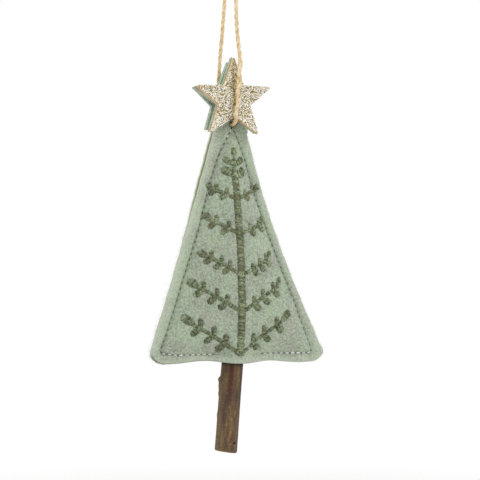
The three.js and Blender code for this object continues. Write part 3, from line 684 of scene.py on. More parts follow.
stitch_path = np.concatenate([stitch_side(-1), stitch_side(1)[::-1][1:]])
stitch_path[:, 1] += 0.3 * hem_lift(stitch_path[:, 0], stitch_path[:, 1])
aside, above = (stitch_path[:, 0] - STITCH_RISE_AT) / 6, (stitch_path[:, 1] - hem_stitch) / 6
stitch_path[:, 1] += 0.9 * np.exp(-np.hypot(aside, above) ** 2)
stitch_length = np.linalg.norm(np.diff(stitch_path, axis=0), axis=1).sum()
stitch_count = round(stitch_length / STITCH_PITCH)
print(f"{stitch_count} stitches in {stitch_length:.0f} mm")

# %% [markdown]
# ## Felt
#
# Wool felt is matted fibre with no weave. Up close it is a tangle of hairs in slightly different
# greens and greys, and from a step away it is softly mottled. The cut edge is square but not crisp.
# The material mixes cloudy patches, specks and three directions of long thin fibres, and its bump
# comes from the same fibres. Along the seam it also paints shade into the needle holes and the
# groove, and the attribute seam holds what it needs: the place in stitches, the distance across the
# seam, and the distance from the cut edge.

# %% Felt material
HEM_SHADE_DOWN = (94.5, 96.5)
felt, tree, shader = material(
    "wool felt, heathered", Roughness=0.95, Sheen_Weight=0.3, Specular_IOR_Level=0.2
)
place = add(tree, "TexCoord").outputs["Object"]
clouds = add(tree, "TexNoise", {0: place, "Scale": per_mm(6), "Detail": 4, "Roughness": 0.65})
greens = [(0.34, "#98a690"), (0.47, "#a4b29c"), (0.57, "#aebaa6"), (0.7, "#b8c4ae")]
ground = add(tree, "ValToRGB", {0: clouds}, greens)
# Two dyed wools are blended in the felt, so it has grey lilac and light green specks under 1 mm wide,
# and patches about 5 mm wide where there is more of one or the other
specks = add(tree, "TexNoise", {0: place, "Scale": per_mm(0.85), "Detail": 5, "Roughness": 0.75})
blends = add(tree, "TexNoise", {0: place, "Scale": per_mm(10), "Detail": 4, "Roughness": 0.65})
lilac_share = add(tree, "ValToRGB", {0: specks}, [(0.49, 0.0), (0.63, 0.9)])
green_share = add(tree, "ValToRGB", {0: specks}, [(0.39, 1.0), (0.5, 0.0)])
more_lilac = add(tree, "ValToRGB", {0: blends}, [(0.51, 0.0), (0.61, 0.6)])
more_green = add(tree, "ValToRGB", {0: blends}, [(0.39, 0.7), (0.49, 0.0)])
# Wool fibres are 0.03 mm thick and are drawn at about 0.2 mm so that they show
strands = []
for turn, shift in ((0.3, 0.0), (1.35, 0.05), (2.4, 0.11)):
    grid = {0: place, "Location": (shift, shift, 0), "Rotation": (0, turn, 0), "Scale": (9, 1, 1)}
    turned = add(tree, "Mapping", grid, vector_type="TEXTURE")
    strand = {0: turned, "Scale": per_mm(0.42), "Detail": 2, "Distortion": 0.6}
    strands.append(add(tree, "TexNoise", strand))
first_two = add(tree, "Math", {0: strands[0], 1: strands[1]}, operation="MAXIMUM")
tangle = add(tree, "Math", {0: first_two, 1: strands[2]}, operation="MAXIMUM")
strand_share = add(tree, "ValToRGB", {0: tangle}, [(0.5, 0.0), (0.72, 0.7)])
seam = add(tree, "Attribute", attribute_name="seam").outputs["Vector"]
beats, off_seam, off_edge = add(tree, "SeparateXYZ", {0: seam}).outputs
# Painted light: the outermost 3 mm are painted paler, standing in for the light that the flat band
# by the cut edge catches
painted_margin_light = add(tree, "MapRange", {0: off_edge, 1: 0.3, 2: 3.6, 3: 0.36, 4: 0.0})
# Needle holes lie where one stitch ends and the next begins, with ragged rims. They are painted
# dark as painted shade in the holes, and a fainter painted shade runs along the groove
beat = add(tree, "Math", {0: beats}, operation="FRACT")
from_hole = add(tree, "Math", {0: beat, 1: 0.5}, operation="SUBTRACT")
along_mm = add(tree, "Math", {0: from_hole, 1: STITCH_PITCH * 0.72}, operation="MULTIPLY")
across_mm = add(tree, "Math", {0: off_seam, 1: 1.7}, operation="MULTIPLY")
hole_place = add(tree, "CombineXYZ", {0: along_mm, 1: across_mm})
hole_gap = add(tree, "VectorMath", {0: hole_place}, operation="LENGTH")
ragged_gap = add(tree, "Math", {0: specks, 1: 1.6, 2: hole_gap}, operation="MULTIPLY_ADD")
hole_depth = add(tree, "MapRange", {0: ragged_gap, 1: 0.8, 2: 1.4, 3: 0.95, 4: 0.0})
off_line = add(tree, "Math", {0: off_seam}, operation="ABSOLUTE")
painted_groove_shade = add(tree, "MapRange", {0: off_line, 1: 0.05, 2: 0.5, 3: 0.14, 4: 0.0})
painted_seam_shade = add(tree, "Math", {0: hole_depth, 1: painted_groove_shade}, operation="MAXIMUM")
# The cut edge is painted a little paler than the faces, a painted highlight for the light that the
# cut edges catch. Its inner side is tinted olive
painted_cut_light = add(tree, "MapRange", {0: off_edge, 1: -0.12, 2: 0.0, 3: 0.15, 4: 0.0})
olive_rim = add(tree, "MapRange", {0: off_edge, 1: -0.8, 2: -0.4, 3: 0.7, 4: 0.0})
# Painted shade: the lower cut edge, which faces down, is painted darker, more towards the left
# corner
level = add(tree, "SeparateXYZ", {0: place})
shade_top, shade_low = ((HOLE[2] - down) * MM for down in HEM_SHADE_DOWN)
at_hem = add(tree, "MapRange", {0: level.outputs[2], 1: shade_top, 2: shade_low, 3: 0.0, 4: 1.0})
to_left = add(tree, "MapRange", {0: level.outputs[0], 1: -12 * MM, 2: 12 * MM, 3: 0.75, 4: 0.2})
on_rim = add(tree, "MapRange", {0: off_edge, 1: 0.08, 2: 0.5, 3: 1.0, 4: 0.0})
hem_shade = add(tree, "Math", {0: at_hem, 1: to_left}, operation="MULTIPLY")
painted_hem_shade = add(tree, "Math", {0: hem_shade, 1: on_rim}, operation="MULTIPLY")
# Each of these shares lays its colour over the ones before it
wool = ground
for share, colour in (
    (more_lilac, "#9d9789"),
    (more_green, "#b2c9a3"),
    (lilac_share, "#84857a"),
    (green_share, "#c4d4ba"),
    (strand_share, "#bbc7b1"),
    (painted_margin_light, "#e2ebd6"),
    (painted_seam_shade, "#3f4b38"),
    (painted_cut_light, "#e9eedb"),
    (olive_rim, "#b4b680"),
    (painted_hem_shade, "#5f6650"),
):
    wool = add(tree, "Mix", {0: share, 6: wool, 7: colour}, data_type="RGBA")
fuzz = add(tree, "Math", {0: tangle, 1: specks}, operation="ADD")
hollow = add(tree, "Math", {0: hole_depth, 1: -1.5, 2: fuzz}, operation="MULTIPLY_ADD")
relief = add(tree, "Bump", {"Height": hollow, "Distance": 0.45 * MM, "Strength": 1.0})
feed(shader, {"Base Color": wool, "Normal": relief})
print("felt nodes:", len(tree.nodes))


# %% Grid over the tree
def tree_grid(rows_down=250, columns=140):
    """A grid of places over the outline, in rows from the tip to the hem. Columns crowd into the
    outermost millimetre, where the cut edge is rounded."""
    corner = -HOLE_TO_HEM + CORNER_RADIUS
    tip_turn = np.linspace(1.5, 0.06, 16)
    low_turn = np.linspace(0, 1, 18) ** 0.7 * np.pi / 2
    tip = HALF_AT_HOLE * np.sin(tip_turn)
    low = corner - CORNER_RADIUS * np.sin(low_turn[1:])
    z = np.concatenate([tip, np.linspace(0, corner, rows_down), low])
    below = np.maximum(corner - z, 0) / CORNER_RADIUS
    wide = half_width(np.maximum(z, corner))
    # The fuzz of the edge adds a little to the width
    fuzz = 0.4 - 0.35 * hump(z, -92, 2.5)
    half = wide - CORNER_RADIUS * (1 - np.sqrt(np.maximum(1 - below**2, 0))) + fuzz
    lead = np.minimum(1.1 / half, 0.3)[:, None]
    ends = lead * np.array([0, 0.03, 0.12, 0.28, 0.5, 0.75])
    across = (1 - lead) * np.linspace(-1, 1, columns)
    shares = np.concatenate([ends - 1, across, (1 - ends)[:, ::-1]], 1)
    # The edge was cut by hand, so it wavers by a tenth of a millimetre
    waver = 0.07 * np.sin(z / 1.9 + 1) + 0.05 * np.sin(z / 0.77)
    x = centre_line(z)[:, None] + shares * half[:, None] + waver[:, None] * shares**5
    # The right-hand corner is fuller than the left one
    x = x + (0.5 * hump(z, -96, 3.2))[:, None] * np.maximum(shares, 0) ** 2
    z = np.repeat(z[:, None], x.shape[1], 1)
    return x, z + hem_lift(x, z)


def outline_of(x, z):
    """The closed outline of a grid of places."""
    ring = [(x[0], z[0]), (x[:, -1], z[:, -1]), (x[-1, ::-1], z[-1, ::-1]), (x[::-1, 0], z[::-1, 0])]
    return np.concatenate([np.stack(pair, 1)[:-1] for pair in ring] + [[(x[0, 0], z[0, 0])]])


def soft_waves(x, z, seed, size):
    """Gentle unevenness: the mean of twelve waves of random direction, about size mm long."""
    random = np.random.default_rng(seed)
    turn = random.uniform(0, 2 * np.pi, 12)
    pace = 2 * np.pi / (size * random.uniform(0.7, 1.6, 12))
    phase = random.uniform(0, 2 * np.pi, 12)
    lines = x[..., None] * np.cos(turn) + z[..., None] * np.sin(turn)
    return np.sin(lines * pace + phase).mean(-1)


# %% Felt faces
EDGE_ROUNDING = 1.0
x, z = tree_grid()
edge = outline_of(x, z)
from_edge = nearest_on(np.concatenate([edge[:-1:3], edge[:1]]), x, z)[0]
from_seam, along_seam, side_of_seam = nearest_on(stitch_path, x, z)
in_stitches = along_seam / stitch_length * stitch_count + 0.5
seam_place = np.stack([in_stitches, from_seam * side_of_seam, from_edge], -1)
groove = 0.5 * hump(from_seam, 0, 0.75)
into_rounding = np.maximum(EDGE_ROUNDING - from_edge, 0)
edge_drop = EDGE_ROUNDING - np.sqrt(EDGE_ROUNDING**2 - into_rounding**2)
press = pressed(x, z)
print("grid over the tree:", x.shape, "deepest press", round(float(press.max()), 2))


def felt_face(name, side, dip, node, seed):
    """One face of the tree: its outer surface follows the swelling less the groove, the pressed
    places and the rounded edge, and its inner surface follows the filling."""
    uneven = 0.16 * soft_waves(x, z, seed, 7) * np.clip(from_edge, 0, 1)
    outer = outer_face(x, z) - dip - edge_drop + uneven
    inner = inner_face(x, z) + 0 * x
    # The back face was cut a little wider than the front one near the tip and narrower near the hem
    spare = np.interp(-z, [0, 6, 16, 27, 37, 52, 70, 99], [0, -0.35, -0.45, -0.4, 0, 0.4, 0.58, 0.7])
    tuck = (side > 0) * spare
    moved_x = x + tuck * np.clip((centre_line(z) - x) / half_width(z), 0, 1) ** 12
    outer = outer - 2.2 * hump(np.hypot(x, z), 0, 1.15, 6)
    grids = [np.stack([moved_x, side * y, z], -1) for y in (outer, inner)]
    shape = sheet(*(grids if side < 0 else grids[::-1]))
    rim = len(shape[0]) - 2 * x.size
    on_outer, on_inner = seam_place.reshape(-1, 3), np.tile([0.0, 9.0, -1.0], (x.size, 1))
    order = [on_outer, on_inner] if side < 0 else [on_inner, on_outer]
    towards_inner = np.repeat([-0.15, -0.2, -0.6][:: -side], rim // 3)
    order.append(np.stack([0 * towards_inner, 9 + 0 * towards_inner, towards_inner], 1))
    piece(name, shape, felt, "felt", node, seam=np.concatenate(order))


felt_face("front_felt_face", -1, groove + 0.42 * press, "front_felt", 5)
felt_face("back_felt_face", 1, groove, "back_felt", 9)

# %% [markdown]
# ## Sewing thread
#
# Each dash of thread rises from one needle hole, lies on the felt and goes down the next. Along the
# hem the stitches lie proud and catch the light. Up the sides they are pulled down into the groove.
# Their colour is painted lighter along the hem, a painted highlight, and darker up the sides, a
# painted shade of the groove.

# %% Thread material
thread, tree, shader = material("sewing thread, polyester", Roughness=0.6, Sheen_Weight=0.2)
place = add(tree, "Attribute", attribute_name="laid").outputs["Vector"]
tone = add(tree, "Attribute", attribute_name="tone").outputs["Fac"]
# The twist of the thread's plies, a line every 0.3 mm
twisted = add(tree, "Mapping", {0: place, "Rotation": (0, 0.6, 0.6)})
lines = add(tree, "TexWave", {0: twisted, "Scale": 1.1, "Distortion": 0.4})
thread_white_and_shade = add(tree, "ValToRGB", {0: tone}, [(0.0, "#9aa690"), (0.5, "#c6cdbc"), (1.0, "#ffffff")])
relief = {"Height": lines.outputs[1], "Distance": 0.06 * MM, "Strength": 0.6}
feed(shader, {"Base Color": thread_white_and_shade, "Normal": add(tree, "Bump", relief)})

# %% Edge stitches
THREAD_RADIUS = 0.22
THREAD_SINK = 0.52


def seam_stitches(name, side, node):
    """One line of dashes. Each is a tube along the seam whose ends go down into the felt."""
    t = np.array([0.0, 0.06, 0.2, 0.5, 0.8, 0.94, 1.0])
    length_share = rng.uniform(0.42, 0.66, (stitch_count, 1))
    in_stitches = np.arange(stitch_count)[:, None] + 0.5 + length_share * (t - 0.5)
    places = places_along(stitch_path, in_stitches * stitch_length / stitch_count)
    px, pz = places[..., 0] + rng.normal(0, 0.05, (stitch_count, 1)), places[..., 1]
    on_hem = hump(pz.mean(1), hem_stitch, 2.0)
    rise = np.array([-1.0, -0.45, 0.0, 0.1, 0.0, -0.45, -1.0]) * 0.55
    height = outer_face(px, pz) - THREAD_SINK + (0.05 + 0.4 * on_hem)[:, None] + rise
    paths = np.stack([px, side * height, pz], -1)
    thickness = THREAD_RADIUS * np.array([0.6, 0.9, 1, 1, 1, 0.9, 0.6])
    radii = thickness * rng.uniform(0.75, 1.1, (stitch_count, 1))
    rings, laid = tubes(paths, radii, 8, (0, 1, 0))
    near_tip = np.clip(1 + pz.mean(1) / 11, 0, 1) * (px.mean(1) < stitch_centre(pz.mean(1)))
    # The tone is painted light: low up the sides for the groove's shade, high along the hem for the light
    # that the proud stitches catch
    tone = 0.15 + 0.85 * on_hem + 1.2 * near_tip + rng.normal(-0.08, 0.16, stitch_count)
    tones = np.repeat(np.clip(tone, 0, 1), rings[0, ..., 0].size)
    piece(name, skin(rings), thread, "thread", node, laid=laid, tone=tones)


seam_stitches("needle_stitches", -1, "needle_thread")
seam_stitches("bobbin_stitches", 1, "bobbin_thread")

# %% [markdown]
# ## Embroidery
#
# Satin stitch is rows of thread laid side by side from one edge of a shape to the other. Each
# stitch is modelled, because the ragged edges and the little shadows between threads are what make
# it read as embroidery. A stitch is a tube that arches over and dives into the felt at both ends.

# %% Floss material
floss, tree, shader = material("embroidery floss, rayon", Roughness=0.5, Sheen_Weight=0.15)
place = add(tree, "TexCoord").outputs["Object"]
laid = add(tree, "Attribute", attribute_name="laid").outputs["Vector"]
tone = add(tree, "Attribute", attribute_name="tone").outputs["Fac"]
olives = [(0.0, "#28321a"), (0.3, "#55633c"), (0.6, "#869566"), (1.0, "#c3cea8")]
olive = add(tree, "ValToRGB", {0: tone}, olives)
hair_place = add(tree, "Mapping", {0: laid, "Scale": (0.5, 9, 9)})
hairs = add(tree, "TexNoise", {0: hair_place, "Scale": 1.5})
# Painted highlights and shade: the colour is mottled light and dark in patches half a millimetre
# wide, where bundles of thread catch the light or lie in shade
glints = add(tree, "TexNoise", {0: place, "Scale": per_mm(0.9), "Detail": 3})
glint_tones = add(tree, "ValToRGB", {0: glints}, [(0.38, "#2c361a"), (0.5, "#738154"), (0.62, "#c3cfa8")])
tinted = add(tree, "Mix", {0: 0.42, 6: olive, 7: glint_tones}, data_type="RGBA")
# Rayon has faded to brown in places
fading = add(tree, "TexNoise", {0: place, "Scale": per_mm(9), "Detail": 2})
faded_share = add(tree, "ValToRGB", {0: fading}, [(0.44, 0.0), (0.62, 0.4)])
faded = add(tree, "Mix", {0: faded_share, 6: tinted, 7: "#6b5f40"}, data_type="RGBA")
relief = add(tree, "Bump", {"Height": hairs, "Distance": 0.08 * MM, "Strength": 0.7})
feed(shader, {"Base Color": faded, "Normal": relief})

# %% Satin stitches
FLOSS_RADIUS = 0.23
FLOSS_SPACING = 0.46
FLOSS_STRAY = 0.14


def satin_leaf(foot, direction, length, width):
    """Ends of the stitches across a leaf. Its half width grows from the foot as share to the power
    0.6, and the outer end is a half circle."""
    count = round(length / FLOSS_SPACING)
    share = (np.arange(count) + 0.6) / count
    bend = 1 - 0.5 * width / length
    end = np.clip((share - bend) / (1 - bend), 0, 1)
    half = width / 2 * np.clip(share / bend, 0, 1) ** 0.6 * np.sqrt(1 - end**2)
    spine = foot + direction * (length * share)[:, None]
    aside = np.array([-direction[1], direction[0]])
    reach = aside * half[:, None] + direction * (0.12 * half)[:, None]
    return spine - reach, spine + reach


def satin_path(path, widths, slant=0.25):
    """Ends of the stitches across a stem: evenly spaced along its path, at right angles to it."""
    length = how_far(path)[-1]
    even = np.linspace(0, length, round(length / FLOSS_SPACING))
    spine = places_along(path, even)
    along = unit(np.gradient(spine, axis=0))
    aside = np.stack([-along[:, 1], along[:, 0]], 1) + slant * along
    half = np.interp(even, how_far(path), widths)[:, None] / 2
    return spine - aside * half, spine + aside * half


def embroidery(name, ends, node, deep=0.0):
    """Makes one piece of all the stitches between pairs of ends, each with its own small error. deep
    is how much darker its thread is than the rest."""
    start, stop = (np.concatenate([pair[k] for pair in ends]) for k in range(2))
    count = len(start)
    start = start + rng.normal(0, FLOSS_STRAY, start.shape)
    stop = stop + rng.normal(0, FLOSS_STRAY, stop.shape)
    t = np.array([0.0, 0.07, 0.28, 0.5, 0.72, 0.93, 1.0])
    flat = start[:, None] + (stop - start)[:, None] * t[:, None]
    span = np.minimum(np.linalg.norm(stop - start, axis=1), 3)[:, None]
    arch = np.array([-2.4, -0.7, 0.35, 0.6, 0.35, -0.7, -2.4]) * (0.12 + 0.05 * span)
    lift = rng.normal(-0.14, 0.1, (count, 1)) + arch
    height = outer_face(flat[..., 0], flat[..., 1]) + lift
    paths = np.stack([flat[..., 0], -height, flat[..., 1]], -1)
    thickness = FLOSS_RADIUS * np.array([0.7, 0.95, 1, 1, 1, 0.95, 0.7])
    rings, laid = tubes(paths, thickness * rng.uniform(0.85, 1.1, (count, 1)), 6, (0, 1, 0))
    tone = np.clip(rng.normal(0.5, 0.3, count) - deep, 0, 1)
    # Painted shade: thread is painted darker where it dives in at the edge of the shape
    rim = np.array([-0.9, -0.7, 0.0, 0.12, 0.0, -0.7, -0.9])
    tones = np.clip(tone[:, None] + rim, 0, 1)
    tones = np.repeat(tones.ravel(), rings.shape[2])
    piece(name, skin(rings), floss, "floss", node, laid=laid, tone=tones)


# %% Sprig pieces
rows = np.linspace(TRUNK_TOP, TRUNK_FOOT, 120)
trunk_path = np.stack([trunk_line(rows), rows], 1)
embroidery("trunk_stitches", [satin_path(trunk_path, trunk_width(rows), 0.12)], "trunk_embroidery")
finial_ends = [satin_path(finial_stem, np.full(3, 2.3))]
finial_ends += [satin_leaf(*leaf) for leaf in finial_leaves]
embroidery("finial_stitches", finial_ends, "finial_embroidery")
for node, (path, leaves) in sprays.items():
    # Branches are thicker where they leave the trunk, and the two lowest pairs have deeper thread
    widths = BRANCH_WIDTHS["right" in node] * (1 + 0.35 * np.exp(-np.arange(len(path)) / 7))
    deep = 0.1 * max(int(node[-1]) - 3, 0)
    ends = [satin_path(path, widths)] + [satin_leaf(*leaf) for leaf in leaves]
    embroidery(node + "_stitches", ends, node, deep)

# %% [markdown]
# ## Stars
#
# The front star is a sandwich: felt behind, pressed board, and coarse glitter stuck on the face. A
# second felt star sits behind the tip. A plate is its outline carried over a profile: from the
# middle of one face out to a rounded edge and back to the middle of the other face.

# %% Star shape
STAR_RADIUS = 17.85
STAR_INNER = 7.3
STAR_HEIGHT = 9.6
STAR_SIDE = -1.15
STAR_ROLL = math.radians(0.8)
REAR_STAR_MOVE = (2.0, 0.25)
BOARD_THICKNESS = 1.5
FIT_GAP = 0.3
TIP_FACE = SEAM_GAP / 2 + FELT_THICKNESS + FIT_GAP
STAR_SLOPE = (TIP_FACE - FIT_GAP / 2) / (STAR_HEIGHT + STAR_RADIUS - HALF_AT_HOLE)
STAR_TILT = math.atan(STAR_SLOPE)


def star_outline(radius, inner, soft, lean=0.0, moves=(), steps=22):
    """A five-pointed star with its points and notches rounded: corner places are joined by straight
    sides, and the whole is smoothed by a running mean as long as soft mm. It was cut by hand, so its
    notches lie off its middle, its top point may lean to the right, and single corners, counted from
    the top point to the left, are moved."""
    turn = np.pi / 2 + np.pi / 5 * np.arange(11)
    far = np.where(np.arange(11) % 2, inner, radius)
    corners = np.stack([far * np.cos(turn), far * np.sin(turn)], 1)
    corners[1::2] += 0.55, -0.15
    for corner, dx, dz in moves:
        corners[corner] += dx, dz
    t = np.arange(steps)[:, None] / steps
    sides = corners[:-1, None] + (corners[1:] - corners[:-1])[:, None] * t
    line = sides.reshape(-1, 2)
    side_length = np.linalg.norm(corners[1] - corners[0])
    reach = max(round(soft / side_length * steps), 1)
    line = sum(np.roll(line, k, 0) for k in range(-reach, reach + 1)) / (2 * reach + 1)
    return line + np.stack([lean * np.clip((line[:, 1] - 5) / 12, 0, 1), 0 * line[:, 1]], 1)


def star_plate(outline, low, high, round_edge):
    """Rings of a plate between two distances from the star's back plane. The outline shrinks to the
    middle of both faces, and near the edge it follows a quarter circle."""
    turn = np.linspace(0, np.pi / 2, 5)
    inset = round_edge * (1 - np.sin(turn))
    drop = round_edge * (1 - np.cos(turn))
    reach = np.linalg.norm(outline, axis=1)[:, None]
    faces = np.array([0.02, 0.25, 0.5, 0.72, 0.88])
    levels = [(share, 0.0, low) for share in faces]
    levels += [(1.0, i, low + d) for i, d in zip(inset, drop)]
    levels += [(1.0, i, high - d) for i, d in zip(inset[::-1], drop[::-1])]
    levels += [(share, 0.0, high) for share in faces[::-1]]
    rings = []
    for share, shrink, level in levels:
        flat = outline * share * (1 - shrink / reach * (0.45 if share == 1 else 0))
        rings.append(np.stack([flat[:, 0], np.full(len(flat), level), flat[:, 1]], 1))
    return np.stack(rings)[None]


def on_star(points, side):
    """Puts points made about the star's middle, Y away from the tree, in their place: rolled, then
    leaned so that both stars meet above the tip."""
    cr, sr = math.cos(STAR_ROLL), math.sin(STAR_ROLL)
    x, y, z = points[..., 0], points[..., 1] * side, points[..., 2]
    x, z = x * cr + z * sr, z * cr - x * sr
    lean = side * STAR_TILT
    y, z = y * math.cos(lean) - z * math.sin(lean), y * math.sin(lean) + z * math.cos(lean)
    shift, rise = REAR_STAR_MOVE if side > 0 else (0, 0)
    foot = side * (FIT_GAP / 2 + STAR_SLOPE * (STAR_RADIUS - rise))
    return np.stack([x + STAR_SIDE + shift, y + foot, z + STAR_HEIGHT + rise], -1)


# %% Board material
board, tree, shader = material("pressed board, sawn", Roughness=0.8)
place = add(tree, "TexCoord").outputs["Object"]
# Boards of pressed fibre have short pale and dark chips about 0.3 mm thick
chips_place = add(tree, "Mapping", {0: place, "Scale": (1, 3, 1)})
chips = add(tree, "TexNoise", {0: chips_place, "Scale": per_mm(0.8), "Detail": 5})
tans = [(0.3, "#ad8b5c"), (0.45, "#d3ab78"), (0.6, "#e8c596"), (0.75, "#f4dcb4")]
tan = add(tree, "ValToRGB", {0: chips}, tans)
relief = add(tree, "Bump", {"Height": chips, "Distance": 0.15 * MM, "Strength": 0.6})
feed(shader, {"Base Color": tan, "Normal": relief})

# %% Star plates
# The rear star was cut more roughly: two of its notches are shallow and its left point droops
rear_moves = [(1, -1.7, -0.3), (2, 0.1, -0.8), (3, -1.5, -0.2), (4, -0.3, 0.8), (6, -0.7, 0.2)]
rear_outline = star_outline(STAR_RADIUS - 1.3, STAR_INNER - 0.1, 0.8, -1.9, rear_moves)
felt_moves = [(2, 0.0, -1.3)]
felt_outline = star_outline(STAR_RADIUS, STAR_INNER, 0.3, 0.6, felt_moves) + np.array([0.0, 0.7])
board_moves = [(2, 0.9, -0.4)]
board_outline = star_outline(STAR_RADIUS, STAR_INNER, 0.25, 0.8, board_moves)
BOARD_LOW = FELT_THICKNESS + 0.05
BOARD_HIGH = BOARD_LOW + BOARD_THICKNESS + 0.15
FELT_EDGE = 0.35
BOARD_EDGE = 0.12
felt_plate = (0.0, FELT_THICKNESS, FELT_EDGE, felt)
board_plate = (BOARD_LOW, BOARD_HIGH, BOARD_EDGE, board)
for name, outline, (low, high, edge, finish), side, node, slot in (
    ("star_backing_felt", felt_outline, felt_plate, -1, "star_felt_front", "felt"),
    ("star_pressed_board", board_outline, board_plate, -1, "star_board", "board"),
    ("rear_felt_star", rear_outline, felt_plate, 1, "star_felt_back", "felt"),
):
    rings = on_star(star_plate(outline, low, high, edge), side)[:, :, ::-side]
    far_away = np.tile([0.0, 9.0, 9.0], (rings[..., 0].size, 1))
    piece(name, skin(rings), finish, slot, node, seam=far_away)

# %% [markdown]
# ## Glitter
#
# Coarse glitter is cut foil, in six-sided flakes that land at every angle. Some mirror the light and
# look white, some mirror the dark and look olive brown. A few thousand tiny plates each get their own
# tilt, and their own tone from olive brown to white: the foil's gold, with painted reflections of the
# light and the dark on top.

# %% Glitter material
foil, tree, shader = material("glitter, cut foil", Metallic=0.4, Roughness=0.3)
place = add(tree, "TexCoord").outputs["Object"]
tone = add(tree, "Attribute", attribute_name="tone").outputs["Fac"]
golds = [(0.0, "#86703a"), (0.22, "#b79f58"), (0.42, "#f0e2b0"), (0.58, "#fffbe8"), (1.0, "#fffffa")]
gold_and_painted_glint = add(tree, "ValToRGB", {0: tone}, golds)
wear = add(tree, "TexNoise", {0: place, "Scale": per_mm(0.4), "Detail": 2})
wear_range = add(tree, "MapRange", {0: wear, 3: 0.2, 4: 0.5})
feed(shader, {"Base Color": gold_and_painted_glint, "Roughness": wear_range})

# %% Glitter flakes
FLAKES = 4200
FLAKE_RADIUS = 0.32
FLAKE_THICKNESS = 0.04
FLAKE_SLANT = 0.42


def inside(outline, places):
    """Which places lie inside a closed outline: those with an odd number of crossings to one side."""
    a, b = outline, np.roll(outline, -1, 0)
    x, z = places[:, :1], places[:, 1:]
    straddles = (a[:, 1] > z) != (b[:, 1] > z)
    meets = a[:, 0] + (z - a[:, 1]) * (b[:, 0] - a[:, 0]) / (b[:, 1] - a[:, 1] + 1e-12)
    return (straddles & (x < meets)).sum(1) % 2 == 1


tries = rng.uniform(-STAR_RADIUS, STAR_RADIUS, (FLAKES * 4, 2))
spots = tries[inside(board_outline * 0.985, tries)][:FLAKES]
count = len(spots)
slant = [rng.normal(0, FLAKE_SLANT, count), np.ones(count), rng.normal(0, FLAKE_SLANT, count)]
normal = unit(np.stack(slant, 1))
first = unit(np.cross(normal, rng.normal(size=(count, 3))))
second = np.cross(normal, first)
turn = np.pi / 3 * np.arange(6)
reach = FLAKE_RADIUS * rng.uniform(0.6, 1.25, (count, 1, 1))
spokes = first[:, None] * np.cos(turn)[:, None] + second[:, None] * np.sin(turn)[:, None]
level = BOARD_HIGH + 0.08 + rng.uniform(0, 0.25, count)
flakes = np.stack([spots[:, 0], level, spots[:, 1]], 1)[:, None] + reach * spokes
thin = normal[:, None] * FLAKE_THICKNESS / 2
rings = on_star(np.stack([flakes - thin, flakes + thin], 1), -1)[:, :, ::-1]
# A band of flakes along the twine's left side is painted darker: a painted shadow of the twine, and
# partly wear where it has rubbed the brightest flakes off
off_twine = spots[:, 0] - 0.45 + 0.03 * spots[:, 1]
twine_shadow_and_wear = hump(off_twine, 0, 0.85, 4) * (rng.uniform(0, 1, count) < 0.85)
tone = np.repeat(rng.beta(0.8, 0.5, count) * (1 - 0.6 * twine_shadow_and_wear), 12)
piece("star_glitter_flakes", skin(rings), foil, "glitter", "star_glitter", tone=tone)

# %% [markdown]
# ## Twig
#
# A hazel or cherry twig keeps its bark: olive brown with fine upright cracks, small pale pores, a
# wine-red stripe, orange scuffs where the skin is rubbed off, and scars where buds were. The bark
# is a tube whose radius is a function of height and angle. The wood inside is a plain rod whose
# sawn end shows.

# %% Twig shape
TWIG_LENGTH = TWIG_INSERTED + TWIG_END - HOLE_TO_HEM
BARK_THICKNESS = 0.9
CUT_SLANT = math.tan(math.radians(3.5))
# Each scar: height as a share of the bark's thickness, place as shares of the twig's length and of a
# turn, and spread as a share of the twig's radius
SCAR_SHARES = [
    (1.0, 0.488, 0.556, 0.36),
    (0.5, 0.44, 0.55, 0.5),
    (0.3, 0.39, 0.548, 0.25),
    (0.5, 0.069, 0.192, 0.3),
    (-0.5, 0.069, 0.192, 0.12),
    (0.3, 0.44, 0.38, 0.4),
    (0.2, 0.25, 0.58, 0.35),
]
# Each scuff: place as shares of a turn and of the twig's length, and its width and height likewise
SCUFF_SHARES = [
    (0.305, 0.31, 0.016, 0.01),
    (0.212, 0.268, 0.014, 0.022),
    (0.256, 0.224, 0.02, 0.016),
    (0.328, 0.193, 0.012, 0.016),
    (0.262, 0.135, 0.017, 0.032),
    (0.285, 0.09, 0.014, 0.018),
    (0.25, 0.058, 0.022, 0.01),
    (0.172, 0.047, 0.018, 0.009),
]


def twig_radius(along, turn):
    """The bark's radius at a share of the height and of the turn: a slow taper, fine upright ridges,
    a wavering surface and a bump for each scar, steeper on its upper side."""
    radius = TWIG_RADIUS - 0.25 * along + 0.05 * np.sin(2 * np.pi * turn * 3 + 9 * along)
    radius = radius + 0.035 * np.sin(2 * np.pi * (turn * 31 + 1.5 * np.sin(14 * along)))
    radius = radius + 0.06 * soft_waves(turn * 29, along * TWIG_LENGTH, 3, 3.2)
    for height, scar_along, scar_turn, spread in SCAR_SHARES:
        apart = np.abs(turn - scar_turn)
        aside = np.minimum(apart, 1 - apart) * 2 * np.pi * TWIG_RADIUS
        away = (along - scar_along) * TWIG_LENGTH
        away = np.where(away > 0, 2 * away, away)
        spread = spread * TWIG_RADIUS
        radius = radius + height * BARK_THICKNESS * np.exp(-(aside**2 + away**2) / spread**2)
    return radius


def on_twig(radius, along, turn):
    """A place on the twig: radius out at an angle from +X towards the front, and a share of the height
    above the sawn end. The end is cut on a slant, which fades out up the twig."""
    x = radius * np.cos(2 * np.pi * turn)
    y = -radius * np.sin(2 * np.pi * turn)
    up = along * TWIG_LENGTH - x * CUT_SLANT * np.clip(1 - 4 * along, 0, 1)
    z = -HOLE_TO_HEM + TWIG_INSERTED - TWIG_LENGTH + up
    return np.stack([x * math.cos(TWIG_LEAN) + twig_line(z), y, z - x * math.sin(TWIG_LEAN)], -1)


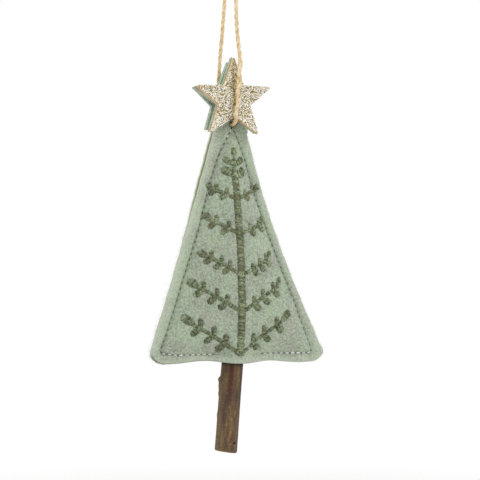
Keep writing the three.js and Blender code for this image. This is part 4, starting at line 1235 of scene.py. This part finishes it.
# %% Bark material
bark, tree, shader = material("twig bark, dry", Roughness=0.82)
place = add(tree, "Attribute", attribute_name="laid").outputs["Vector"]
marks_field = add(tree, "Attribute", attribute_name="marks").outputs["Vector"]
red, scuff, bare = add(tree, "SeparateXYZ", {0: marks_field}).outputs
upright = add(tree, "Mapping", {0: place, "Scale": (0.16, 1, 1)})
grain = add(tree, "TexNoise", {0: upright, "Scale": 2.6, "Detail": 6, "Roughness": 0.65})
bands = add(tree, "Mapping", {0: place, "Scale": (0.12, 1, 1)})
patches = add(tree, "TexNoise", {0: bands, "Scale": 0.5, "Detail": 3})
long_marks = add(tree, "Mix", {0: 0.5, 2: grain, 3: patches})
# Dust in the bark's roughness is a fine mottling, as wide as it is tall
dust = add(tree, "TexNoise", {0: place, "Scale": 1.5, "Detail": 4, "Roughness": 0.7})
mottled = add(tree, "Mix", {0: 0.27, 2: long_marks, 3: dust})
browns = [(0.38, "#32251d"), (0.46, "#523f32"), (0.53, "#69563a"), (0.62, "#8a744b")]
brown = add(tree, "ValToRGB", {0: mottled}, browns)
# The wine-red stripe and the orange scuffs have ragged edges, and a scar is dark in its middle
ragged = add(tree, "Math", {0: grain, 1: 2.4, 2: -1.2}, operation="MULTIPLY_ADD")
red_edge = add(tree, "Math", {0: red, 1: ragged}, operation="ADD")
red_share = add(tree, "MapRange", {0: red_edge, 1: 0.05, 2: 1.0, 3: 0.0, 4: 0.95})
flecks = add(tree, "TexNoise", {0: place, "Scale": 1.6, "Detail": 4, "Roughness": 0.7})
fleck_edge = add(tree, "Math", {0: flecks, 1: 3.2, 2: -1.7}, operation="MULTIPLY_ADD")
scuff_edge = add(tree, "Math", {0: scuff, 1: fleck_edge}, operation="ADD")
scuff_share = add(tree, "MapRange", {0: scuff_edge, 1: 0.15, 2: 1.0, 3: 0.0, 4: 0.72})
scar_share = add(tree, "MapRange", {0: scuff, 1: -0.3, 2: -1.0, 3: 0.0, 4: 0.95})
# Pores are pale dots about 0.5 mm wide, wider than they are tall
pore_place = add(tree, "Mapping", {0: place, "Scale": (1.5, 1, 1)})
pores = add(tree, "TexVoronoi", {0: pore_place, "Scale": 0.42, "Randomness": 1.0})
pore_share = add(tree, "MapRange", {0: pores, 1: 0.1, 2: 0.17, 3: 0.7, 4: 0.0})
# Painted shadow: the bark is painted almost black just below where it goes into the felt, under
# the hem
up_twig = add(tree, "SeparateXYZ", {0: place}).outputs[0]
hem_shadow_band = {0: up_twig, 1: 35.7, 2: 36.6, 3: 0.0, 4: 0.9}
painted_hem_shadow = add(tree, "MapRange", hem_shadow_band, interpolation_type="SMOOTHSTEP")
skin_colour = brown
for share, colour in (
    (red_share, "#4d1f16"),
    (scuff_share, "#b27c44"),
    (scar_share, "#1f1512"),
    (pore_share, "#8d7a58"),
    (bare, "#c99560"),
    (painted_hem_shadow, "#1b1512"),
):
    skin_colour = add(tree, "Mix", {0: share, 6: skin_colour, 7: colour}, data_type="RGBA")
relief = add(tree, "Bump", {"Height": grain, "Distance": 0.35 * MM, "Strength": 0.8})
feed(shader, {"Base Color": skin_colour, "Normal": relief})

# %% Bark tube
RIM_SHARE = 0.008
inner_radius = TWIG_RADIUS - 0.25 - BARK_THICKNESS


def laid_out(height, radius, turn):
    """Each point's place on the bark or the wood: up the twig, and across it in two directions."""
    across, over = radius * np.cos(2 * np.pi * turn), radius * np.sin(2 * np.pi * turn)
    return np.stack(np.broadcast_arrays(height, across, over), -1)[:, ::-1].reshape(-1, 3)


turn = np.arange(132) / 132
along = np.concatenate([[0.0, 0.001, 0.003, 0.007], np.linspace(0.012, 1, 250)])[:, None]
rim = 0.5 * np.clip(1 - along / RIM_SHARE, 0, 1) ** 2
outer = twig_radius(along, turn[None]) - rim
inner = np.full((20, len(turn)), inner_radius)
up_twig = np.concatenate([along, np.linspace(1, 0, len(inner))[:, None]])
radius = np.concatenate([outer, inner])
rings = on_twig(radius, up_twig + 0 * turn, turn + 0 * up_twig)[None, :, ::-1]
red = hump(turn - 0.322 + 0.02 * up_twig, 0, 0.042) * np.clip((up_twig - 0.24) * 4.5, 0, 1)
scuff = sum(
    np.exp(-(((turn - mark_turn) / wide) ** 2) - ((up_twig - mark_along) / tall) ** 2)
    for mark_turn, mark_along, wide, tall in SCUFF_SHARES
)
# The lowest scar is darkened in its middle
_, scar_along, scar_turn, _ = SCAR_SHARES[3]
scar_x = (turn - scar_turn) * 2 * np.pi * TWIG_RADIUS / 1.4
from_scar = np.hypot(scar_x, (up_twig - scar_along) * TWIG_LENGTH)
scuff = scuff - 1.6 * hump(from_scar, 0, 0.55)
bare_rim = np.clip(1 - up_twig / RIM_SHARE, 0, 1) * np.clip((turn - 0.27) * 20, 0, 1)
marks = np.stack([red, scuff, bare_rim], -1)[:, ::-1].reshape(-1, 3)
laid = laid_out(up_twig * TWIG_LENGTH, radius, turn)
shape = skin(rings, looped=True)
piece("twig_rough_bark", shape, bark, "bark", "twig_bark", laid=laid, marks=marks)

# %% Wood material
RING_WIDTH = 0.6
wood, tree, shader = material("twig wood, sawn", Roughness=0.75)
laid_field = add(tree, "Attribute", attribute_name="laid").outputs["Vector"]
place = add(tree, "SeparateXYZ", {0: laid_field})
across = add(tree, "CombineXYZ", {0: place.outputs[1], 1: place.outputs[2]})
from_pith = add(tree, "VectorMath", {0: across}, operation="LENGTH")
# Growth rings stand about 0.6 mm apart in a thin twig
ring_turn = add(tree, "Math", {0: from_pith, 1: 2 * math.pi / RING_WIDTH}, operation="MULTIPLY")
ring_wave = add(tree, "Math", {0: ring_turn}, operation="SINE")
pores = add(tree, "TexNoise", {0: across, "Scale": 4.0, "Detail": 3})
uneven = add(tree, "Math", {0: ring_wave, 1: 0.12, 2: pores}, operation="MULTIPLY_ADD")
cream = add(tree, "ValToRGB", {0: uneven}, [(0.3, "#a87c4c"), (0.5, "#cda673"), (0.7, "#e3c796")])
relief = add(tree, "Bump", {"Height": uneven, "Distance": 0.12 * MM, "Strength": 0.5})
feed(shader, {"Base Color": cream, "Normal": relief})

# %% Wood rod
core = inner_radius - 0.02
low_end, top_end = core * np.linspace(0.01, 1, 9), core * np.linspace(1, 0.01, 4)
radius = np.concatenate([low_end, np.full(12, core), top_end])
along = np.concatenate([np.zeros(9), np.linspace(0.01, 0.99, 12), np.ones(4)])
radius, along, turn = np.broadcast_arrays(radius[:, None], along[:, None], np.arange(64) / 64)
rings = on_twig(radius, along, turn)[None, :, ::-1]
laid = laid_out(along * TWIG_LENGTH, radius, turn)
piece("twig_wood_core", skin(rings), wood, "wood", "twig_wood", laid=laid)

# %% [markdown]
# ## What the felt hides
#
# Inside are a puff of polyester filling and the glue that holds the twig, and four dabs of glue hold
# the stars. They are made too, so that the ornament is whole when a face is taken off. The filling
# is one body above the twig and two beside it, each a stack of flattened rings.

# %% Glue and filling materials
glue, tree, shader = material("hot glue, set", Roughness=0.35, Subsurface_Weight=0.3)
place = add(tree, "TexCoord").outputs["Object"]
cloudy = add(tree, "TexNoise", {0: place, "Scale": per_mm(1.5)})
amber = add(tree, "ValToRGB", {0: cloudy}, [(0.3, "#d8cfae"), (0.7, "#efe8cf")])
feed(shader, {"Base Color": amber})

puff, tree, shader = material("polyester filling", Roughness=1.0, Sheen_Weight=0.4)
place = add(tree, "TexCoord").outputs["Object"]
curls = {0: place, "Scale": per_mm(1.2), "Detail": 6, "Distortion": 2.0}
tangle = add(tree, "TexNoise", curls)
white = add(tree, "ValToRGB", {0: tangle}, [(0.35, "#d9dad6"), (0.65, "#f4f4f1")])
relief = add(tree, "Bump", {"Height": tangle, "Distance": 0.5 * MM, "Strength": 0.8})
feed(shader, {"Base Color": white, "Normal": relief})


# %% Filling
def filling_lobe(top, low, left, right):
    """Flattened rings from low to top: across runs from left to right as cos a, and depth is the
    room between the felts times the root of sin a."""
    rows = np.linspace(low, top, 44)[:, None]
    end = np.sqrt(np.clip(1 - np.abs(np.linspace(-1, 1, 44)) ** 5, 0.003, 1))[:, None]
    turn = 2 * np.pi * np.arange(48) / 48
    start, stop = left(rows), right(rows)
    x = (start + stop) / 2 + (stop - start) / 2 * np.cos(turn) * end
    room = inner_face(x, rows + 0 * x) - 0.9
    y = np.sign(np.sin(turn)) * np.sqrt(np.abs(np.sin(turn))) * np.maximum(room, 0.1) * end
    return skin(np.stack([x, y, rows + 0 * x], -1)[None])


def filling_side(way):
    return lambda z: stitch_centre(z) + way * (stitch_half(z) - 3)


def beside_twig(way):
    return lambda z: twig_line(z) + way * (TWIG_RADIUS + 1.4)


twig_top = -HOLE_TO_HEM + TWIG_INSERTED
low = hem_stitch + 3.5
lobes = [
    filling_lobe(-14, twig_top + 6, filling_side(-1), filling_side(1)),
    filling_lobe(twig_top + 12, low, filling_side(-1), beside_twig(-1)),
    filling_lobe(twig_top + 12, low, beside_twig(1), filling_side(1)),
]
filling = piece("soft_filling", join(lobes), puff, "wadding", "wadding")


# %% Glue
def drop(centre, radius, depth, axis):
    """A flattened ball: rings of radius cos a at depth times sin a, round Y or round Z."""
    a = np.linspace(-1.5, 1.5, 11)[:, None]
    turn = 2 * np.pi * np.arange(20) / 20
    p, q = radius * np.cos(a) * np.cos(turn), radius * np.cos(a) * np.sin(turn)
    r = depth * np.sin(a) + 0 * turn
    rings = np.stack([p, r, -q] if axis == "Y" else [p, q, r], -1) + centre
    return skin(rings[None])


shape = drop((twig_line(twig_top), 0, twig_top + 1.55), 3.6, 1.5, "Z")
piece("twig_end_glue", shape, glue, "glue", "twig_glue")
for place_name, side in (("front", -1), ("back", 1)):
    for side_name, way in (("left", -1), ("right", 1)):
        node = f"star_glue_{place_name}_{side_name}"
        shape = drop((way * 4.2, side * 3.3, 2.0), 1.0, 0.3, "Y")
        piece(node + "_dab", shape, glue, "glue", node)

# %% [markdown]
# ## Loose fibres
#
# Felt is never smooth against the light: single hairs stand off its faces and off the cut edge. A
# few thousand fine curved hairs give the edge its soft line. They are thicker than real wool so that
# they still show.


# %% Felt hairs
HAIR_RADII = 0.022 * np.array([1, 1, 1, 0.8, 0.35])


def felt_hairs(name, side, count, seed):
    """Hairs that leave the outer face or the cut edge, lie over and curl."""
    random = np.random.default_rng(seed)
    row, column = random.integers(8, x.shape[0], count), random.integers(0, x.shape[1], count)
    on_rim = random.random(count) < 0.45
    column = np.where(on_rim, random.choice([0, x.shape[1] - 1], count), column)
    root_x, root_z = x[row, column], z[row, column]
    cut = np.where(on_rim, random.random(count) * FELT_THICKNESS, 0)
    depth = outer_face(root_x, root_z) - cut - (groove + edge_drop)[row, column] * (1 - on_rim) - 0.1
    root = np.stack([root_x, side * depth, root_z], -1)
    outwards = np.sign(root_x - centre_line(root_z)) * on_rim
    outwards = np.stack([outwards, side * (1.0 - 0.7 * on_rim), 0 * depth], -1)
    lean = unit(outwards + random.normal(0, 0.9, (count, 3)) * [1, 0.25, 1])
    reach = random.uniform(0.2, 0.75, (count, 1))
    curl = random.normal(0, 0.45, (count, 3)) * reach * [1, 0.2, 1]
    rings, _ = curved_hairs(root, lean * reach, curl, HAIR_RADII)
    far_away = np.tile([0.0, 9.0, 3.0], (rings[..., 0].size, 1))
    piece(name, skin(rings), felt, "felt", seam=far_away)


felt_hairs("front_felt_hairs", -1, 3200, 11)
felt_hairs("back_felt_hairs", 1, 2600, 12)

# %% [markdown]
# ## Light and background
#
# Soft studio light: one large lamp from the front right, above, which leaves small shadows at the
# left of the twine and of each stitch, one from behind at the left, which lights the cut edges,
# and a pale surrounding. The floor takes the ornament's shadow close by. Further out it turns
# white to the camera.


# %% Floor and backdrop
def seen(tree):
    """1 for a ray that comes from the camera, straight or by way of a mirror or glass, and else 0."""
    rays = add(tree, "LightPath").outputs
    open_air = {0: rays["Is Camera Ray"], 1: rays["Is Glossy Ray"]}
    direct = add(tree, "Math", open_air, operation="MAXIMUM")
    through_glass = {0: direct, 1: rays["Is Transmission Ray"]}
    return add(tree, "Math", through_glass, operation="MAXIMUM")


paper, tree, shader = material("white paper", Roughness=0.9, Base_Color="#f2f2f0")
place = add(tree, "TexCoord").outputs["Object"]
grain = add(tree, "TexNoise", {0: place, "Scale": per_mm(2)})
relief = add(tree, "Bump", {"Height": grain, "Distance": 0.05 * MM, "Strength": 0.3})
feed(shader, {"Normal": relief})
far_out = add(tree, "VectorMath", {0: place}, operation="LENGTH")
away = add(tree, "MapRange", {0: far_out, 1: 0.4, 2: 0.62}, interpolation_type="SMOOTHSTEP")
whiten = add(tree, "Math", {0: seen(tree), 1: away}, operation="MULTIPLY")
glow = add(tree, "Emission", {"Color": "#ffffff", "Strength": 1.0})
both = add(tree, "MixShader", {0: whiten, 1: shader, 2: glow})
feed(tree.nodes["Material Output"], {"Surface": both})

turn = np.linspace(0, np.pi / 2, 20)
run = np.concatenate([np.linspace(-2, 1.2, 30), 1.2 + 0.8 * np.sin(turn), np.full(10, 2.0)])
rise = np.concatenate([np.zeros(30), 0.8 * (1 - np.cos(turn)), np.linspace(0.85, 3.2, 10)]) - 0.3
wide = np.linspace(-2.5, 2.5, 20)
grid = np.stack(np.broadcast_arrays(wide[None], run[:, None], rise[:, None]), -1)
at = np.arange(grid[..., 0].size).reshape(grid.shape[:2])
quads = np.stack([at[:-1, :-1], at[:-1, 1:], at[1:, 1:], at[1:, :-1]], -1).reshape(-1, 4)
mesh = bpy.data.meshes.new("studio_sweep")
mesh.from_pydata(grid.reshape(-1, 3).tolist(), [], quads.tolist())
mesh.polygons.foreach_set("use_smooth", np.ones(len(quads), bool))
mesh.materials.append(paper)
sweep = bpy.data.objects.new("studio_sweep", mesh)
bpy.context.scene.collection.objects.link(sweep)


# %% Lamps and world
def lamp(name, place, size, watts):
    """A square area lamp that faces the middle of the ornament."""
    made = bpy.data.objects.new(name, bpy.data.lights.new(name, "AREA"))
    made.data.size = size
    made.data.energy = watts
    made.location = place
    made.rotation_mode = "QUATERNION"
    made.rotation_quaternion = (Vector(place) - AIM).to_track_quat("Z", "Y")
    bpy.context.scene.collection.objects.link(made)


lamp("key", (0.75, -1.0, 0.6), 0.8, 7.4)
lamp("rim", (-1.1, 0.3, 0.7), 0.9, 9.5)
world = bpy.data.worlds.new("studio")
bpy.context.scene.world = world
world.use_nodes = True
sky = world.node_tree
ground = sky.nodes["Background"]
strength = add(sky, "MapRange", {0: seen(sky), 3: 0.57, 4: 1.0})
feed(ground, {"Color": "#ffffff", "Strength": strength})
bpy.context.scene.view_settings.view_transform = "Standard"
